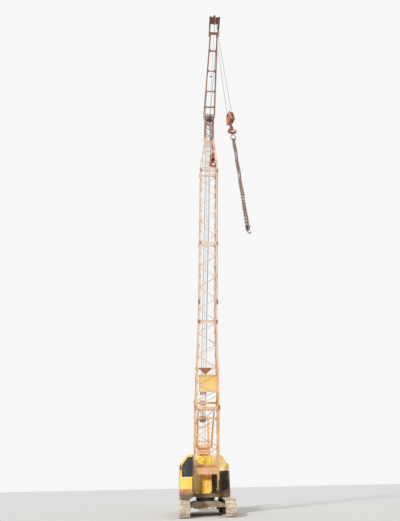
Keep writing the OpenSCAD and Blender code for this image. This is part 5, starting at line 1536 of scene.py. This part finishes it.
# the place to sit and work in the cab stands for the CAD's plain cab_interior
seatTrim = dict(x=-1.41, y=-1.36, cushion=((-1.41, -1.36, 1.640), (0.25, 0.26, 0.065), -3),
                back=((-1.41, -1.135, 1.99), (0.24, 0.30, 0.060), 82), fill=0.8,
                pan=(1.585, (0.46, 0.48, 0.026)), backPlate=((-1.41, -1.075, 1.95), (0.40, 0.018, 0.56)),
                stays=(-1.60, -1.22), stay=((-1.12, 1.58), (-1.07, 1.78), 0.03, 0.02), armOut=0.055,
                armAt=(-1.30, 1.80), arm=(0.055, 0.30, 0.035),
                armStay=((-1.12, 1.60), (-1.14, 1.79), 0.025, 0.02), slides=(-1.514, -1.305), slideUp=1.268,
                slide=(0.05, 0.46, 0.036), bellows=7, bellowUp=1.305, bellowStep=0.040,
                bellow=(0.32, 0.03, 0.038))
deskTrim = dict(outline=[(-2.195, 1.25), (-2.03, 1.25), (-2.03, 1.80), (-2.13, 1.87), (-2.195, 1.87)],
                ends=(-1.74, -1.10), lean=35, top=((-1.42, -2.07, 1.82), (0.60, 0.012, 0.05)),
                dials=(-1.66, -1.18, 6), dialAt=(-2.028, 1.70),
                dial=[(0, 0), (0.030, 0), (0.030, 0.012), (0.024, 0.016), (0, 0.012)],
                mat=((-1.42, -1.44, 1.250), (0.76, 1.24, 0.012)), levers=(-1.60, -1.50, -1.30, -1.20),
                lever=((-2.10, 1.83), (-2.035, 2.13), 0.009),
                knob=[(0.016, 0), (0.024, 0.03), (0.024, 0.05), (0.012, 0.07), (0, 0.07), (0, 0)],
                boot=[(0.030, 0), (0.014, 0.05), (0, 0.05), (0, 0)], bootUp=0.02,
                pedals=(-1.55, -1.42, -1.29), pedalAt=(-1.97, 1.33), pedal=(0.075, 0.11, 0.012),
                pedalArm=((-2.03, 1.27), (-1.98, 1.33), 0.014, 0.014))
gone = ["cab_interior"]


def makeSeat():
    t = seatTrim
    for name, (centre, half, lean) in (("seatCushion", t["cushion"]), ("seatBack", t["back"])):
        pad = Form()
        pillow(pad, centre, half, lean)
        pad.finish(name, "superstructure", "seatCover", "seat_trim", gone, smooth=60)
    frame = Form()
    x, y = t["x"], t["y"]
    up, size = t["pan"]
    frame.box((x, y, up), size, chamfer=0.008).box(*t["backPlate"], chamfer=0.006)
    for stay, slide in zip(t["stays"], t["slides"]):
        arm = stay + math.copysign(t["armOut"], stay - x)
        frame.box((arm, *t["armAt"]), t["arm"], chamfer=0.010)
        for u, (start, end, *section) in ((stay, t["stay"]), (arm, t["armStay"])):
            frame.bar((u, *start), (u, *end), *section)
        frame.box((slide, y, t["slideUp"]), t["slide"], chamfer=0.006)
    wide, fold, tall = t["bellow"]
    for k in range(t["bellows"]):  # round the seat's spring
        ring = wide - fold * (k % 2)
        frame.box((x, y, t["bellowUp"] + t["bellowStep"] * k), (ring, ring, tall), chamfer=0.008)
    frame.finish("seatFrame", "superstructure", "rubber", "seat_trim", gone)


def makeDesk():
    t = deskTrim
    desk, sticks = Form(), Form()
    desk.prism(t["outline"], *t["ends"])
    desk.box(*t["top"], Matrix.Rotation(math.radians(-t["lean"]), 3, "X"), chamfer=0.004)
    for x in spread(*t["dials"]):
        desk.lathe(t["dial"], (x, *t["dialAt"]), "Y", 18)
    desk.box(*t["mat"], chamfer=0.004)
    desk.finish("controlDesk", "superstructure", "rubber", "seat_trim", gone)
    foot, head, thick = t["lever"]
    for x in t["levers"]:
        low, high = Vector((x, *foot)), Vector((x, *head))
        sticks.tube([low, low.lerp(high, 0.5), high], thick, 10)
        sticks.lathe(t["knob"], high, "Z", 14)
        sticks.lathe(t["boot"], low + Vector((0, 0, t["bootUp"])), "Z", 14)
    start, end, *section = t["pedalArm"]
    for x in t["pedals"]:
        sticks.box((x, *t["pedalAt"]), t["pedal"], Matrix.Rotation(math.radians(t["lean"]), 3, "X"),
                   chamfer=0.003)
        sticks.bar((x, *start), (x, *end), *section)
    sticks.finish("leversAndPedals", "superstructure", "rodSteel", "dark_steel", gone, smooth=60)


makeSeat()
makeDesk()

# under the deck and on the boom: step bar, strut, outriggers, clamps with a cable, the gantry block's nuts
stepTrim = dict(bar=((-0.42, -1.24, 0.46), (0.98, 0.09, 0.05)), stays=(-0.70, -0.14),
                stay=((-1.23, 0.46), (-1.02, 0.60), 0.05, 0.03))
deckTrim = dict(strut=((-0.56, -1.10, 1.30), (-1.03, -1.62, 1.06), 0.06, 0.06, 0.008),
                foot=((-0.60, -1.075, 1.20), (0.10, 0.05, 0.22)), outriggers=(-0.45, 0.35, 1.15, 1.95, 2.75),
                outline=[(0.655, 1.245), (1.66, 1.245), (1.66, 1.20), (0.655, 1.07)], half=0.012)
cableTrim = dict(x=0.70, out=-0.585, clampUp=13.2, box=(0.11, 0.07, 0.36), band=(0.14, 0.03, 0.05),
                 boxIn=0.015, clipOut=0.005, run=(13.4, 23.8, 27), sway=0.008, waves=1.7, radius=0.011,
                 clips=(14.0, 23.5, 9), clip=(0.05, 0.022, 0.03))
blockNut = dict(radius=0.07, inner=0.272, outer=0.292)


def dressDeck():
    base, up = Form(), Form()
    base.box(*stepTrim["bar"], chamfer=0.006)
    start, end, *section = stepTrim["stay"]
    for x in stepTrim["stays"]:
        base.bar((x, *start), (x, *end), *section)
    base.finish("stepBar", "undercarriage", "frameSteel", "track_steel")
    t = deckTrim
    up.bar(*t["strut"]).box(*t["foot"], chamfer=0.006)
    for y in t["outriggers"]:
        for sx in (-1, 1):
            up.prism([(sx * x, z) for x, z in t["outline"]], y - t["half"], y + t["half"], "Y")
    # struts and outriggers take the deck's dark coat, which is painted shade
    up.finish("deckStruts", "superstructure", "platformPaint", "dark_steel")


def clampCable():  # clamp boxes on the front chords, and the cable that runs on up from one of them
    t = cableTrim
    arm = Form(boomAt)
    out = t["out"]
    for x in (-t["x"], t["x"]):
        arm.box((x, out - t["boxIn"], t["clampUp"]), t["box"], chamfer=0.012)
        arm.box((x, out, t["clampUp"]), t["band"], chamfer=0.005)
    arm.tube([(t["x"] + t["sway"] * math.sin(t["waves"] * s), out, s) for s in spread(*t["run"])],
             t["radius"], 6)
    for s in spread(*t["clips"]):
        arm.box((t["x"], out + t["clipOut"], s), t["clip"], chamfer=0.004)
    arm.finish("boomClamps", "boom", "headPaint", "dark_steel")


def nutBlock():
    t = blockNut
    gear = Form(stayAt)
    for sx in (-1, 1):
        gear.drum(t["radius"], *standOut(sx, t["inner"], t["outer"]), sides=6)
    gear.finish("blockNuts", "stay_block", "rodSteel", "dark_steel")


dressDeck()
clampCable()
nutBlock()
print("cab and rest dressed")

# floor, backdrop and lights; each lamp is (strength, spread in degrees, where it shines)
studio = dict(floorSize=600, floorTone=0.80, skyTone=0.93, ambient=0.54,
              lamps=dict(key=(2.35, 7, (0.52, 0.74, -0.45)), fill=(0.45, 60, (-0.5, 0.5, -0.3))))


def makeFloor():
    mesh = bpy.data.meshes.new("floor")
    half = studio["floorSize"] / 2
    mesh.from_pydata([(x * half, y * half, 0) for x, y in ((-1, -1), (1, -1), (1, 1), (-1, 1))], [],
                     [(0, 1, 2, 3)])
    floor = bpy.data.objects.new("floor", mesh)
    bpy.context.scene.collection.objects.link(floor)
    s = Sheet("floorTone")
    t = studio["floorTone"]
    s.set(Base_Color=rgb(t, t, t * 0.98), Roughness=0.9, Specular_IOR_Level=0.1)
    mesh.materials.append(s.material)


def makeSky():  # plain at full strength for the camera and in reflections, weaker as light
    world = bpy.data.worlds.new("studio")
    world.use_nodes = True
    bpy.context.scene.world = world
    tree = world.node_tree
    back = tree.nodes["Background"]
    plain = tree.nodes.new("ShaderNodeBackground")
    t = studio["skyTone"]
    for shader in (back, plain):
        shader.inputs["Color"].default_value = rgb(t, t, t)
    back.inputs["Strength"].default_value = studio["ambient"]
    path = tree.nodes.new("ShaderNodeLightPath")
    either = tree.nodes.new("ShaderNodeMath")
    either.operation = "MAXIMUM"
    tree.links.new(path.outputs["Is Camera Ray"], either.inputs[0])
    tree.links.new(path.outputs["Is Glossy Ray"], either.inputs[1])
    blend = tree.nodes.new("ShaderNodeMixShader")
    for k, source in enumerate((either, back, plain)):
        tree.links.new(source.outputs[0], blend.inputs[k])
    tree.links.new(blend.outputs[0], tree.nodes["World Output"].inputs["Surface"])


def makeLamps():
    for name, (strength, width, towards) in studio["lamps"].items():
        lamp = bpy.data.lights.new(name, "SUN")
        lamp.energy = strength
        lamp.angle = math.radians(width)
        item = bpy.data.objects.new(name, lamp)
        item.rotation_mode = "QUATERNION"
        item.rotation_quaternion = Vector(towards).to_track_quat("-Z", "Y")
        bpy.context.scene.collection.objects.link(item)


makeFloor()
makeSky()
makeLamps()
bpy.context.scene.view_settings.view_transform = "Standard"
